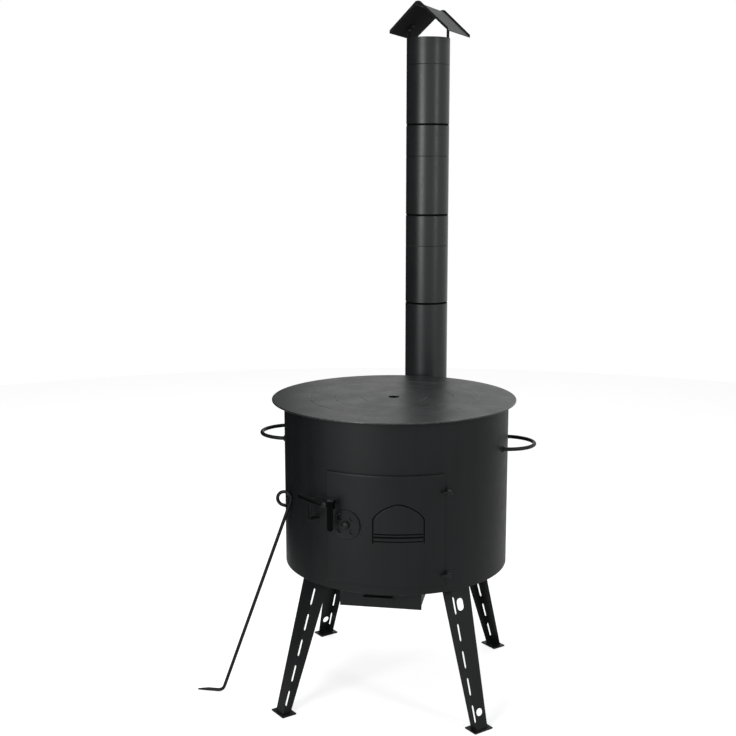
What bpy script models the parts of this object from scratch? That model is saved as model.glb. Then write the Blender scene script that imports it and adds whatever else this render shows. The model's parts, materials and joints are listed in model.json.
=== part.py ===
"""Kazan stove: a sheet-steel barrel on four perforated legs, with a fire door, an ash drawer,
a hob plate with lift-out rings and a stacked chimney. Metres, +Z up, the fire door faces -Y."""
import math

import bmesh
import bpy
from mathutils import Matrix, Vector

# Fits
GAP = 0.0003
RUN = 0.0008
SHEET = 0.002
THIN = 0.0015
BIG = 60
WIDE = 72
PIPE = 32
SMALL = 16
HEX = 12
ROUND = 96
TRIM = 0.02

# Barrel
SHELL_R = 0.239
SHELL_BOTTOM = 0.2822
SHELL_HEIGHT = 0.3512
SHELL_TOP = SHELL_BOTTOM + SHELL_HEIGHT
SHELL_IN = SHELL_R - SHEET
PAN_RIM = 0.014

# Ash opening, grate and drawer
ASH_HALF = 0.060
ASH_FRONT = -0.150
ASH_BACK = 0.060
GRATE_LAP = 0.012
GRATE_T = 0.006
GRATE_SLOT = 0.008
GRATE_PITCH = 0.0155
GRATE_SLOTS = 7
DRAWER_HALF = 0.0835
DRAWER_FRONT = 0.0354 - SHELL_R
DRAWER_BACK = 0.0964
DRAWER_BOTTOM = 0.2416
BOX_INSET = 0.002
BOX_LIP = 0.012
TRAY_WALL = 0.001
TRAY_DROP = 0.0065
PULL_WIDTH = 0.060
PULL_X = -0.004
PULL_REACH = 0.012
PULL_TOP = 0.2665
PULL_DROP = 0.016

# Hob
HOB_LIP = 0.021
HOB_R = SHELL_R + HOB_LIP
HOB_T = 0.003
HOB_SHIFT = (-0.0048, -0.0007)
HOB_UNDER = SHELL_TOP + GAP
HOB_TOP = HOB_UNDER + HOB_T
HOB_HOLE = 0.180
RING_HOLE = 0.1275
LID_R = 0.070
LIFT_R = 0.0123
HOB_FIT = 0.0005
LEDGE = 0.009
LEDGE_T = 0.002
COLLAR_PLAY = 0.0055
COLLAR_DROP = 0.012

# Chimney
FLUE_SIDE = math.radians(3.9)
FLUE_BEHIND = 0.0918
FLUE_OUT = SHELL_R + FLUE_BEHIND
FLUE_R = 0.050
FLUE_WALL = 0.001
STUB_Z = 0.490
STUB_IN = SHELL_R - 0.017
BEND_R = 0.065
SOCKET_TOP = 0.605
PIPE_LONG = 0.2064
MOUTH = 0.9379
MOUTHS = (MOUTH, MOUTH + PIPE_LONG, MOUTH + 2 * PIPE_LONG)
ROLL_DROP = 0.1342
ROLL_DEEP = 0.001
ROLL_HALF = 0.0024
NECK = 0.045
NECK_CUT = 0.0018

# Cap
COLLAR_OUT = 0.060
COLLAR_TOP = MOUTHS[-1] + COLLAR_OUT
COLLAR_DEPTH = 0.040
ROOF_RISE = 0.0726
ROOF_DROP = 0.0643
RIDGE_Z = COLLAR_TOP + ROOF_RISE
EAVE_Z = RIDGE_Z - ROOF_DROP
ROOF_HALF = 0.0696
RIDGE_HALF = 0.0844
EAVE_HALF = 0.0792
ROOF_T = 0.0015
ROOF_LIP = 0.005
ROOF_TURN = math.radians(-12.9)
ROOF_X = 0.0049
ROOF_FOLD = 0.0055
FOLD_DROP = 0.8
STRUT_W = 0.016
STRUT_LAP = 0.022
STRUT_FOLD = 0.014

# Legs
FOOT_T = 0.003
FOOT_LONG = 0.046
FOOT_WIDE = 0.033
FOOT_IN = 0.010
FOOT_ALONG = 0.0145
LEG_HEAD = (0.58 * SHELL_R, 0.7138 * SHELL_R)
LEG_SPLAY = (0.0612, 0.0567)
LEG_FOOT = (LEG_HEAD[0] + LEG_SPLAY[0], LEG_HEAD[1] + LEG_SPLAY[1])
OUT_FLANGE = (0.0288, 0.0473)
IN_FLANGE = (0.018, 0.034)
SLOTS = 5
SLOT_FIRST = 0.033
SLOT_PITCH = 0.0548
SLOT_LONG = 0.0375
SLOT_R = 0.0045
ROUND_HOLE = (0.0333, 0.0157, 0.008)
LONG_HOLE = (0.2517, 0.0166, 0.0085)
LONG_HOLE_END = 0.0045
TAB_LONG = 0.034
TAB_WIDE = 0.030
BOLT_R = 0.004
BOLT_FLAT = 0.0065
BOLT_HEAD = 0.005
NUT_T = 0.0065
BOLT_TIP = 0.003

# Handles
ROD_R = 0.004
HANDLES = (("handle_left", -1, 0.5513, 0.064), ("handle_right", 1, 0.5453, 0.058))
HANDLE_REACH = 0.0558
HANDLE_OUT = SHELL_R + HANDLE_REACH
HANDLE_ROOT = 0.008

# Fire door
DOOR_LEFT = math.radians(-26.3)
DOOR_RIGHT = math.radians(32.0)
DOOR_BOTTOM = 0.299
DOOR_TOP = 0.527
DOOR_PROUD = 0.004
DOOR_R = SHELL_R + DOOR_PROUD
DOOR_SHEET = 0.0018
DOOR_RIM = 0.0025
DOOR_LAP = 0.012
HINGE_ZS = (0.3195, 0.4903)
HINGE_SIDE = 0.0070
HINGE_OUT = 0.0045
LUG_R = 0.0060
LUG_REACH = 0.008
LUG_T = 0.003
PIN_R = 0.003
PIN_HEAD = 0.0045
PIN_CROWN = 0.0015

# Arch and band pressed into the door
ARCH_LEFT = math.radians(-2.5)
ARCH_RIGHT = math.radians(22.3)
ARCH_TOP = 0.4696
ARCH_SPRING = 0.436
ARCH_POWER = 4 / 3
ARCH_BOTTOM = 0.3902
GROOVE = 0.005
PRESS = 0.0008
BAND_LOW = 0.401
BAND_HIGH = 0.414

# Draught disc
DISC_SIDE = math.radians(-15.2)
DISC_Z = 0.4225
DISC_R = 0.030
DISC_HOLES = 4
DISC_HOLE_R = 0.0055
DISC_HOLE_AT = 0.019
SHUT = 0.5
KNOB_R = 0.008
KNOB_T = 0.008
DOME = 0.6
THUMB_TURN = math.radians(125)
THUMB_IN = 0.006
THUMB_T = 0.0025
THUMB_HALF = 0.006
THUMB_RISE = 0.005

# Latch
PIVOT_SIDE = math.radians(-24.5)
PIVOT_Z = 0.4620
BAR_STAND = 0.014
BAR_OFF = DOOR_R + BAR_STAND
BAR_T = 0.003
BAR_REACH = 0.066
BAR_H = 0.010
BAR_RISE = math.radians(7)
GRIP_FROM = 0.0115
GRIP_W = 0.0135
GRIP_TOP = 0.4755
GRIP_BOTTOM = 0.4113
GRIP_OUT = 0.0095
GRIP_OFF = BAR_OFF + GRIP_OUT
GRIP_T = 0.0025
GRIP_BEND = 0.005
SPACER_R = 0.007
TAIL_R = 0.0047
PIVOT_HEAD_R = 0.0065
PIVOT_HEAD_T = 0.004
CATCH_SIDE = math.radians(-32.3)
CATCH_W = 0.008
CATCH_T = 0.003
CATCH_FOOT = 0.4245

# Poker
POKER_R = 0.0035
POKER_Y = -0.139
EYE_R = 0.0145
EYE_CLEAR = 0.0011
EYE_X = -(math.sqrt(SHELL_R ** 2 - POKER_Y ** 2) + EYE_CLEAR + POKER_R + EYE_R)
EYE_Z = 0.441
POKER_FOOT = 0.1431
TOE_LONG = 0.0565
POKER_BEND = EYE_X - POKER_FOOT
POKER_TIP = POKER_BEND - TOE_LONG
POKER_TURN = 0.012
TOE = ((0.0, 0.45), (0.012, 0.75), (0.024, 1.0))

MATERIALS = {
    "black_paint": ((0.022, 0.024, 0.026), 0.42, 0.0),
    "hob_steel": ((0.050, 0.052, 0.055), 0.30, 0.6),
    "dark_iron": ((0.030, 0.030, 0.031), 0.60, 0.4),
    "bright_zinc": ((0.55, 0.56, 0.57), 0.30, 1.0),
}


def clear_scene():
    for old in list(bpy.data.objects):
        bpy.data.objects.remove(old, do_unlink=True)


def material(name):
    found = bpy.data.materials.get(name)
    if found:
        return found
    color, roughness, metallic = MATERIALS[name]
    made = bpy.data.materials.new(name)
    made.use_nodes = True
    shader = made.node_tree.nodes["Principled BSDF"]
    shader.inputs["Base Color"].default_value = (*color, 1.0)
    shader.inputs["Roughness"].default_value = roughness
    shader.inputs["Metallic"].default_value = metallic
    return made


def mesh_object(name, bm, look="black_paint"):
    """Closes the mesh, turns its faces outwards and makes the object."""
    bmesh.ops.remove_doubles(bm, verts=bm.verts, dist=1e-6)
    bmesh.ops.recalc_face_normals(bm, faces=bm.faces)
    mesh = bpy.data.meshes.new(name)
    bm.to_mesh(mesh)
    bm.free()
    mesh.shade_smooth()
    mesh.set_sharp_from_angle(angle=math.radians(35))
    mesh.materials.append(material(look))
    made = bpy.data.objects.new(name, mesh)
    bpy.context.collection.objects.link(made)
    return made


def loft(name, rings, closed=False, look="black_paint"):
    """Skins rings that have the same number of points; an open loft gets flat ends."""
    bm = bmesh.new()
    rows = [[bm.verts.new(p) for p in ring] for ring in rings]
    count = len(rows[0])
    pairs = list(zip(rows, rows[1:]))
    if closed:
        pairs.append((rows[-1], rows[0]))
    for low, high in pairs:
        for i in range(count):
            j = (i + 1) % count
            bm.faces.new((low[i], low[j], high[j], high[i]))
    if not closed:
        bm.faces.new(rows[0][::-1])
        bm.faces.new(rows[-1])
    return mesh_object(name, bm, look)


def turned(name, profile, steps=BIG, look="black_paint"):
    """Turns a closed (radius, height) profile about Z."""
    rings = []
    for i in range(steps):
        a = math.tau * i / steps
        rings.append([(r * math.cos(a), r * math.sin(a), z) for r, z in profile])
    return loft(name, rings, True, look)


def panel(name, left, right, inner, outer, low, high, look="black_paint"):
    """A piece of a cylinder's wall between two angles, measured from -Y towards +X."""
    steps = max(2, round((right - left) / math.radians(5)))
    rings = []
    for i in range(steps + 1):
        side = left + (right - left) * i / steps
        section = ((inner, low), (outer, low), (outer, high), (inner, high))
        rings.append([around(side, r, z) for r, z in section])
    return loft(name, rings, False, look)


def slab(name, outline, depth, look="black_paint"):
    """Extrudes an outline in the XY plane upwards by a depth."""
    rings = [[(x, y, z) for x, y in outline] for z in (0.0, depth)]
    return loft(name, rings, False, look)


def block(name, low, high, look="black_paint"):
    outline = ((low[0], low[1]), (high[0], low[1]), (high[0], high[1]), (low[0], high[1]))
    rings = [[(x, y, z) for x, y in outline] for z in (low[2], high[2])]
    return loft(name, rings, False, look)


def stack(name, levels, steps=SMALL, look="black_paint"):
    """Round or six-sided levels of (radius, height, whether six-sided), skinned upwards."""
    rings = []
    for radius, z, six in levels:
        ring = []
        for i in range(steps):
            a = math.tau * i / steps
            r = radius
            if six:
                r = radius / math.cos((a % (math.pi / 3)) - math.pi / 6)
            ring.append((r * math.cos(a), r * math.sin(a), z))
        rings.append(ring)
    return loft(name, rings, False, look)


def drill(name, radius, low, high, steps=SMALL):
    """A round cutter."""
    return stack(name, ((radius, low, False), (radius, high, False)), steps)


def rod(name, points, radius, sides=2, widths=None, look="black_paint"):
    """A round bar along points."""
    curve = bpy.data.curves.new(name, "CURVE")
    curve.dimensions = "3D"
    curve.bevel_depth = radius
    curve.bevel_resolution = sides
    curve.use_fill_caps = True
    curve.resolution_u = 1
    curve.render_resolution_u = 0
    line = curve.splines.new("POLY")
    line.points.add(len(points) - 1)
    for i, p in enumerate(points):
        line.points[i].co = (*p, 1.0)
        line.points[i].radius = widths[i] if widths else 1.0
    curve.materials.append(material(look))
    made = bpy.data.objects.new(name, curve)
    bpy.context.collection.objects.link(made)
    return made


def solid_rod(name, points, radius):
    """A round bar as a mesh, so that it can be cut."""
    guide = rod(name + "_line", points, radius)
    bm = bmesh.new()
    drawn = guide.to_mesh()
    bm.from_mesh(drawn)
    guide.to_mesh_clear()
    bpy.data.objects.remove(guide, do_unlink=True)
    return mesh_object(name, bm)


def strip_outline(path, thickness):
    """The outline of a folded sheet: a path and its copy, offset to its left."""
    path = [Vector(p) for p in path]
    normals = []
    for a, b in zip(path, path[1:]):
        way = (b - a).normalized()
        normals.append(Vector((-way.y, way.x)))
    offset = []
    for i, p in enumerate(path):
        before = normals[max(i - 1, 0)]
        after = normals[min(i, len(normals) - 1)]
        offset.append(p + (before + after) * thickness / (1 + before.dot(after)))
    return [tuple(p) for p in path] + [tuple(p) for p in reversed(offset)]


def hide(tool):
    tool.hide_render = True
    tool.display_type = "WIRE"
    return tool


def combine(target, tool, operation):
    step = target.modifiers.new(operation.lower(), "BOOLEAN")
    step.operation = operation
    step.solver = "EXACT"
    step.object = hide(tool)


def cut(target, tool):
    combine(target, tool, "DIFFERENCE")


def weld(target, tool):
    combine(target, tool, "UNION")


def around(side, radius, z):
    """A point at an angle from -Y towards +X."""
    return (radius * math.sin(side), -radius * math.cos(side), z)


def facing(side, z, off=0.0):
    """A frame on the barrel: X along the wall to the right, Y up, Z outwards."""
    right = Vector((math.cos(side), math.sin(side), 0))
    out = Vector((math.sin(side), -math.cos(side), 0))
    frame = Matrix.Identity(4)
    frame.col[0][:3] = right
    frame.col[1][:3] = (0, 0, 1)
    frame.col[2][:3] = out
    frame.col[3][:3] = out * off + Vector((0, 0, z))
    return frame


def place(made, frame):
    made.matrix_world = frame
    return made


def make_shell():
    profile = ((SHELL_IN, SHELL_BOTTOM), (SHELL_R, SHELL_BOTTOM),
               (SHELL_R, SHELL_TOP), (SHELL_IN, SHELL_TOP))
    shell = turned("firebox_shell", profile, WIDE)
    lap = DOOR_LAP / SHELL_R
    hole = panel("door_cut", DOOR_LEFT + lap, DOOR_RIGHT - lap, SHELL_IN - SHEET, SHELL_R + SHEET,
                 DOOR_BOTTOM + DOOR_LAP, DOOR_TOP - DOOR_LAP)
    cut(shell, hole)
    flue = drill("flue_cut", FLUE_R + 2 * GAP, SHELL_R - 2 * TRIM, SHELL_R + TRIM, PIPE)
    cut(shell, place(flue, facing(math.pi - FLUE_SIDE, STUB_Z)))
    return shell


def leg_axes(sx, sy):
    side = Vector((sx, -sy, 0)) / math.sqrt(2)
    inward = Vector((-sx, -sy, 0)) / math.sqrt(2)
    foot = Vector((sx * LEG_FOOT[0], sy * LEG_FOOT[1], FOOT_T + GAP))
    head = Vector((sx * LEG_HEAD[0], sy * LEG_HEAD[1], SHELL_BOTTOM))
    return foot, head, side, inward


def bolt_place(sx, sy):
    head, side, inward = leg_axes(sx, sy)[1:]
    return head + side * TAB_LONG / 2 + inward * (TAB_WIDE / 2 + SHEET / 2)


def make_floor():
    low = SHELL_BOTTOM + GAP
    edge = SHELL_IN - GAP
    profile = ((0, low), (edge, low), (edge, low + PAN_RIM), (edge - SHEET, low + PAN_RIM),
               (edge - SHEET, low + SHEET), (0, low + SHEET))
    pan = turned("floor_pan", profile)
    hole = block("ash_cut", (-ASH_HALF, ASH_FRONT, low - SHEET), (ASH_HALF, ASH_BACK, low + 2 * SHEET))
    cut(pan, hole)
    for sx in (-1, 1):
        for sy in (-1, 1):
            spot = bolt_place(sx, sy)
            hole = drill("pan_drill", BOLT_R + GAP, low - SHEET, low + 2 * SHEET, HEX)
            cut(pan, place(hole, Matrix.Translation((spot.x, spot.y, 0))))
    base = low + SHEET + GAP
    grate = block("grate", (-ASH_HALF - GRATE_LAP, ASH_FRONT - GRATE_LAP, base),
                  (ASH_HALF + GRATE_LAP, ASH_BACK + GRATE_LAP, base + GRATE_T), "dark_iron")
    for i in range(GRATE_SLOTS):
        x = (i - (GRATE_SLOTS - 1) / 2) * GRATE_PITCH
        slot = block("grate_cut", (x - GRATE_SLOT / 2, ASH_FRONT, base - GRATE_T),
                     (x + GRATE_SLOT / 2, ASH_BACK, base + 2 * GRATE_T))
        cut(grate, slot)
    return [pan, grate]


def make_ash_box():
    top = SHELL_BOTTOM
    low = DRAWER_BOTTOM + BOX_INSET
    half = DRAWER_HALF - BOX_INSET
    front = DRAWER_FRONT + SHEET + GAP
    path = ((-half - BOX_LIP, top - THIN), (-half, top - THIN), (-half, low), (half, low),
            (half, top - THIN), (half + BOX_LIP, top - THIN))
    outline = strip_outline(path, THIN)
    rings = [[(x, y, z) for x, z in outline] for y in (front, DRAWER_BACK)]
    box = loft("ash_box", rings)
    back = block("box_back", (-half + THIN / 2, DRAWER_BACK - THIN, low + THIN / 2),
                 (half - THIN / 2, DRAWER_BACK, top))
    weld(box, back)

    inner = half - THIN - RUN
    floor = low + THIN + RUN
    rim = top - TRAY_DROP
    end = DRAWER_BACK - THIN - RUN
    tray = block("ash_drawer", (-inner, DRAWER_FRONT + SHEET / 2, floor), (inner, end, rim))
    hollow = block("tray_cut", (-inner + TRAY_WALL, DRAWER_FRONT + SHEET, floor + TRAY_WALL),
                   (inner - TRAY_WALL, end - TRAY_WALL, rim + SHEET))
    cut(tray, hollow)
    face = block("drawer_face", (-DRAWER_HALF, DRAWER_FRONT, DRAWER_BOTTOM),
                 (DRAWER_HALF, DRAWER_FRONT + SHEET, top))
    weld(tray, face)

    near = DRAWER_FRONT - GAP
    leaf = ((near, PULL_TOP - PULL_DROP), (near, PULL_TOP), (near - PULL_REACH, PULL_TOP))
    outline = strip_outline(leaf, THIN)
    rings = [[(x, y, z) for y, z in outline] for x in (PULL_X - PULL_WIDTH / 2, PULL_X + PULL_WIDTH / 2)]
    pull = loft("drawer_pull", rings)
    return [box, tray, pull]


def make_hob():
    under = HOB_UNDER
    collar = SHELL_IN - COLLAR_PLAY
    plate = turned("hob_plate", (
        (HOB_HOLE, HOB_TOP), (HOB_HOLE, under), (HOB_HOLE - LEDGE, under),
        (HOB_HOLE - LEDGE, under - LEDGE_T), (HOB_HOLE + LEDGE, under - LEDGE_T),
        (HOB_HOLE + LEDGE, under), (collar - SHEET, under),
        (collar - SHEET, under - COLLAR_DROP), (collar, under - COLLAR_DROP), (collar, under),
        (HOB_R, under), (HOB_R, HOB_TOP)), WIDE, "hob_steel")
    made = [plate]
    outer = HOB_HOLE
    base = under + GAP
    for name, inner in (("ring_outer", RING_HOLE), ("ring_inner", LID_R)):
        edge = outer - HOB_FIT
        made.append(turned(name, (
            (inner, HOB_TOP), (inner, base), (inner - LEDGE, base), (inner - LEDGE, base - LEDGE_T),
            (inner + LEDGE, base - LEDGE_T), (inner + LEDGE, base), (edge, base), (edge, HOB_TOP)),
            BIG, "hob_steel"))
        outer = inner
        base += GAP
    edge = LID_R - HOB_FIT
    made.append(turned("centre_lid", (
        (LIFT_R, HOB_TOP), (LIFT_R, base), (edge, base), (edge, HOB_TOP)), BIG, "hob_steel"))
    for piece in made:
        piece.location = (*HOB_SHIFT, 0)
    return made


def flue_point():
    return (FLUE_OUT * math.sin(FLUE_SIDE), FLUE_OUT * math.cos(FLUE_SIDE))


def make_elbow():
    """The stub, a quarter bend and the upright socket, with a bore all through."""
    way = Vector((math.sin(FLUE_SIDE), math.cos(FLUE_SIDE), 0))
    across = Vector((math.cos(FLUE_SIDE), -math.sin(FLUE_SIDE), 0))
    up = Vector((0, 0, 1))
    turn = way * (FLUE_OUT - BEND_R) + up * (STUB_Z + BEND_R)
    stations = [(way * STUB_IN + up * STUB_Z, up)]
    for i in range(6):
        a = math.radians(18 * i)
        out = way * math.sin(a) - up * math.cos(a)
        stations.append((turn + out * BEND_R, -out))
    stations.append((way * FLUE_OUT + up * SOCKET_TOP, -way))
    rings = []
    for radius, order in ((FLUE_R, stations), (FLUE_R - FLUE_WALL, stations[::-1])):
        for centre, normal in order:
            ring = []
            for i in range(PIPE):
                a = math.tau * i / PIPE
                ring.append(centre + across * radius * math.cos(a) + normal * radius * math.sin(a))
            rings.append(ring)
    return loft("flue_elbow", rings, True)


def roll(radius, z):
    """A groove rolled into a pipe, as points down one side of its wall."""
    points = []
    for i in range(5):
        a = math.pi * i / 4
        points.append((radius - ROLL_DEEP * math.sin(a), z + ROLL_HALF * math.cos(a)))
    return points


def necked(name, low, foot, top, rolls=()):
    """A pipe that stands on another one's mouth at its foot, with a narrower neck down inside it."""
    neck = FLUE_R - NECK_CUT
    inner = FLUE_R - FLUE_WALL
    profile = [(FLUE_R, top)]
    for z in rolls:
        profile += roll(FLUE_R, z)
    profile += [(FLUE_R, foot), (neck, foot), (neck, low), (neck - FLUE_WALL, low),
                (neck - FLUE_WALL, foot + FLUE_WALL), (inner, foot + FLUE_WALL)]
    for z in rolls:
        profile += roll(inner, z)[::-1]
    profile.append((inner, top))
    pipe = turned(name, profile, PIPE)
    pipe.location = (*flue_point(), 0)
    return pipe


def make_pipes():
    made = []
    seat = SOCKET_TOP
    for name, mouth in zip(("chimney_lower", "chimney_middle", "chimney_upper"), MOUTHS):
        foot = seat + GAP
        made.append(necked(name, foot - NECK, foot, mouth, (mouth - ROLL_DROP,)))
        seat = mouth
    return made


def make_cap():
    collar = necked("cap_collar", MOUTHS[-1] - COLLAR_DEPTH, MOUTHS[-1] + GAP, COLLAR_TOP)
    frame = Matrix.Translation((*flue_point(), 0)) @ Matrix.Rotation(ROOF_TURN, 4, "Z")

    slope = (RIDGE_Z - EAVE_Z) / ROOF_HALF
    drop = ROOF_T * math.hypot(1, slope)
    rings = []
    for side in (-ROOF_HALF, -ROOF_FOLD, 0.0, ROOF_FOLD, ROOF_HALF):
        share = abs(side) / ROOF_HALF
        half = RIDGE_HALF + (EAVE_HALF - RIDGE_HALF) * share
        z = RIDGE_Z - abs(side) * slope
        if side == 0:
            z -= ROOF_FOLD * slope * FOLD_DROP
        bend = half - ROOF_T
        section = ((-half, z - drop), (half, z - drop), (half, z + ROOF_LIP), (bend, z + ROOF_LIP),
                   (bend, z), (-bend, z), (-bend, z + ROOF_LIP), (-half, z + ROOF_LIP))
        rings.append([(ROOF_X + side, v, height) for v, height in section])
    roof = place(loft("cap_roof", rings), frame)

    made = [collar, roof]
    face = math.sqrt((FLUE_R - FLUE_WALL - GAP) ** 2 - (STRUT_W / 2) ** 2)
    for name, sign in (("cap_strut_left", -1), ("cap_strut_right", 1)):
        reach = abs(face - sign * ROOF_X)
        under = RIDGE_Z - reach * slope - drop - 2 * GAP
        inward = STRUT_FOLD / math.hypot(1, slope)
        path = ((face, COLLAR_TOP - STRUT_LAP), (face, under), (face - inward, under + inward * slope))
        outline = strip_outline(path, THIN)
        rings = [[(sign * u, v, z) for u, z in outline] for v in (-STRUT_W / 2, STRUT_W / 2)]
        made.append(place(loft(name, rings), frame))
    return made


def leg_ring(origin, side, inward, wide, deep):
    """The L-shaped section of a leg: a wide flange, facing outwards, and one towards the middle."""
    return [origin, origin + side * wide, origin + side * wide + inward * SHEET,
            origin + (side + inward) * SHEET, origin + side * SHEET + inward * deep, origin + inward * deep]


def make_leg(name, sx, sy, holed):
    foot, head, side, inward = leg_axes(sx, sy)
    leg = loft(name, (leg_ring(foot, side, inward, OUT_FLANGE[0], IN_FLANGE[0]),
                      leg_ring(head, side, inward, OUT_FLANGE[1], IN_FLANGE[1])))
    corner = head + (side + inward) * SHEET / 2
    tab_rings = []
    for z in (head.z - SHEET, head.z):
        ring = []
        for a, b in ((0, 0), (TAB_LONG, 0), (TAB_LONG, TAB_WIDE), (0, TAB_WIDE)):
            p = corner + side * a + inward * b
            ring.append((p.x, p.y, z))
        tab_rings.append(ring)
    weld(leg, loft("leg_tab", tab_rings))
    spot = bolt_place(sx, sy)
    hole = drill("tab_drill", BOLT_R + GAP, head.z - 3 * SHEET, head.z + SHEET, HEX)
    cut(leg, place(hole, Matrix.Translation((spot.x, spot.y, 0))))

    line = (head - foot).normalized()
    outward = -inward
    for i in range(SLOTS):
        middle = SLOT_FIRST + i * SLOT_PITCH
        cutter = round_bar("slot_cut", foot + line * middle, line, side, SLOT_LONG, SLOT_R, 10)
        cut(leg, cutter)
    if holed:
        for along, across, radius, ends in ((*ROUND_HOLE, 0.0), (*LONG_HOLE, LONG_HOLE_END)):
            centre = foot + line * along + side * across
            cut(leg, obround("hole_cut", centre, line, side, outward, radius, ends))
    return leg


def round_bar(name, centre, line, side, length, radius, steps):
    """A bar with domed ends, along a line."""
    third = line.cross(side).normalized()
    second = third.cross(line).normalized()
    half = length / 2 - radius
    levels = []
    for a in (-80, -40, 0):
        levels.append((radius * math.cos(math.radians(a)), -half + radius * math.sin(math.radians(a))))
    for a in (0, 40, 80):
        levels.append((radius * math.cos(math.radians(a)), half + radius * math.sin(math.radians(a))))
    rings = []
    for r, at in levels:
        ring = []
        for i in range(steps):
            a = math.tau * i / steps
            ring.append(centre + line * at + second * r * math.cos(a) + third * r * math.sin(a))
        rings.append(ring)
    return loft(name, rings)


def obround(name, centre, line, side, outward, radius, ends):
    """A round or long hole's cutter through the outer flange."""
    outline = []
    for i in range(20):
        a = math.tau * (i + 0.5) / 20
        shift = ends if math.sin(a) > 0 else -ends
        outline.append(side * radius * math.cos(a) + line * (radius * math.sin(a) + shift))
    return loft(name, [[centre + p + outward * d for p in outline] for d in (-3 * SHEET, 3 * SHEET)])


def make_legs():
    made = []
    places = (("left_front", -1, -1), ("right_front", 1, -1), ("left_back", -1, 1), ("right_back", 1, 1))
    for name, sx, sy in places:
        made.append(make_leg("leg_" + name, sx, sy, sx * sy < 0))
        foot, head, side, inward = leg_axes(sx, sy)
        centre = foot + side * FOOT_ALONG + inward * FOOT_IN
        rings = []
        for z in (0.0, FOOT_T):
            ring = []
            for a, b in ((-1, -1), (1, -1), (1, 1), (-1, 1)):
                p = centre + side * a * FOOT_LONG / 2 + inward * b * FOOT_WIDE / 2
                ring.append((p.x, p.y, z))
            rings.append(ring)
        made.append(loft("foot_" + name, rings))
        spot = bolt_place(sx, sy)
        low = head.z - SHEET - GAP
        pan = SHELL_BOTTOM + GAP + SHEET + GAP
        tip = pan + NUT_T + BOLT_TIP
        frame = Matrix.Translation((spot.x, spot.y, 0))
        bolt = stack("bolt_" + name, ((BOLT_FLAT, low - BOLT_HEAD, True), (BOLT_FLAT, low, True),
                                      (BOLT_R, low, False), (BOLT_R, tip, False)), HEX, "bright_zinc")
        nut = stack("nut_" + name, ((BOLT_FLAT, pan, True), (BOLT_FLAT, pan + NUT_T, True)), HEX,
                    "bright_zinc")
        bore = drill("nut_drill", BOLT_R + GAP, pan - NUT_T, pan + 2 * NUT_T, HEX)
        made += [place(bolt, frame), place(nut, frame)]
        cut(nut, place(bore, frame))
    return made


def make_handles():
    made = []
    for name, sign, height, reach in HANDLES:
        start = math.sqrt(SHELL_R ** 2 - reach ** 2)
        points = [(sign * (start - HANDLE_ROOT), -reach, height)]
        for i in range(17):
            a = math.pi * (i / 16 - 0.5)
            x = start + (HANDLE_OUT - start) * math.cos(a)
            points.append((sign * x, reach * math.sin(a), height))
        points.append((sign * (start - HANDLE_ROOT), reach, height))
        handle = solid_rod(name, points, ROD_R)
        cut(handle, drill("handle_trim", SHELL_R + GAP, height - TRIM, height + TRIM, ROUND))
        made.append(handle)
    return made


def hinge_axis():
    side = DOOR_RIGHT + HINGE_SIDE / DOOR_R
    return side, DOOR_R + HINGE_OUT


def lug_outline(near, width):
    """A lug seen along its pin: a round eye about the pin and a tongue that ends at x = near."""
    points = [(near, -width / 2)]
    for i in range(13):
        a = math.radians(-90 + 15 * i)
        points.append((LUG_R * math.cos(a), LUG_R * math.sin(a)))
    points.append((near, width / 2))
    return points


def upright(side, radius, z, turn=0.0):
    """A frame whose X points outwards from the barrel, turned about a vertical axis."""
    spot = Matrix.Translation(around(side, radius, z))
    return spot @ Matrix.Rotation(side - math.pi / 2 + turn, 4, "Z")


def make_hinges():
    side, radius = hinge_axis()
    made = []
    for name, z in zip(("hinge_lower", "hinge_upper"), HINGE_ZS):
        depth = radius - SHELL_R
        bracket = slab(name, lug_outline(-depth - LUG_R, 2 * LUG_R), LUG_T)
        place(bracket, upright(side, radius, z - LUG_T - GAP / 2))
        cut(bracket, drill("bracket_trim", SHELL_R + GAP, z - TRIM, z + TRIM, ROUND))
        seat = LUG_T + 2 * GAP
        pin = stack("pin_" + name, ((PIN_R, -LUG_T / 2, False), (PIN_R, seat, False),
                                    (PIN_HEAD, seat, False), (PIN_HEAD, LUG_T + PIN_CROWN, False),
                                    (PIN_R, LUG_T + 2 * PIN_CROWN, False)))
        place(pin, upright(side, radius, z))
        weld(bracket, pin)
        made.append(bracket)
    return made


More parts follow.
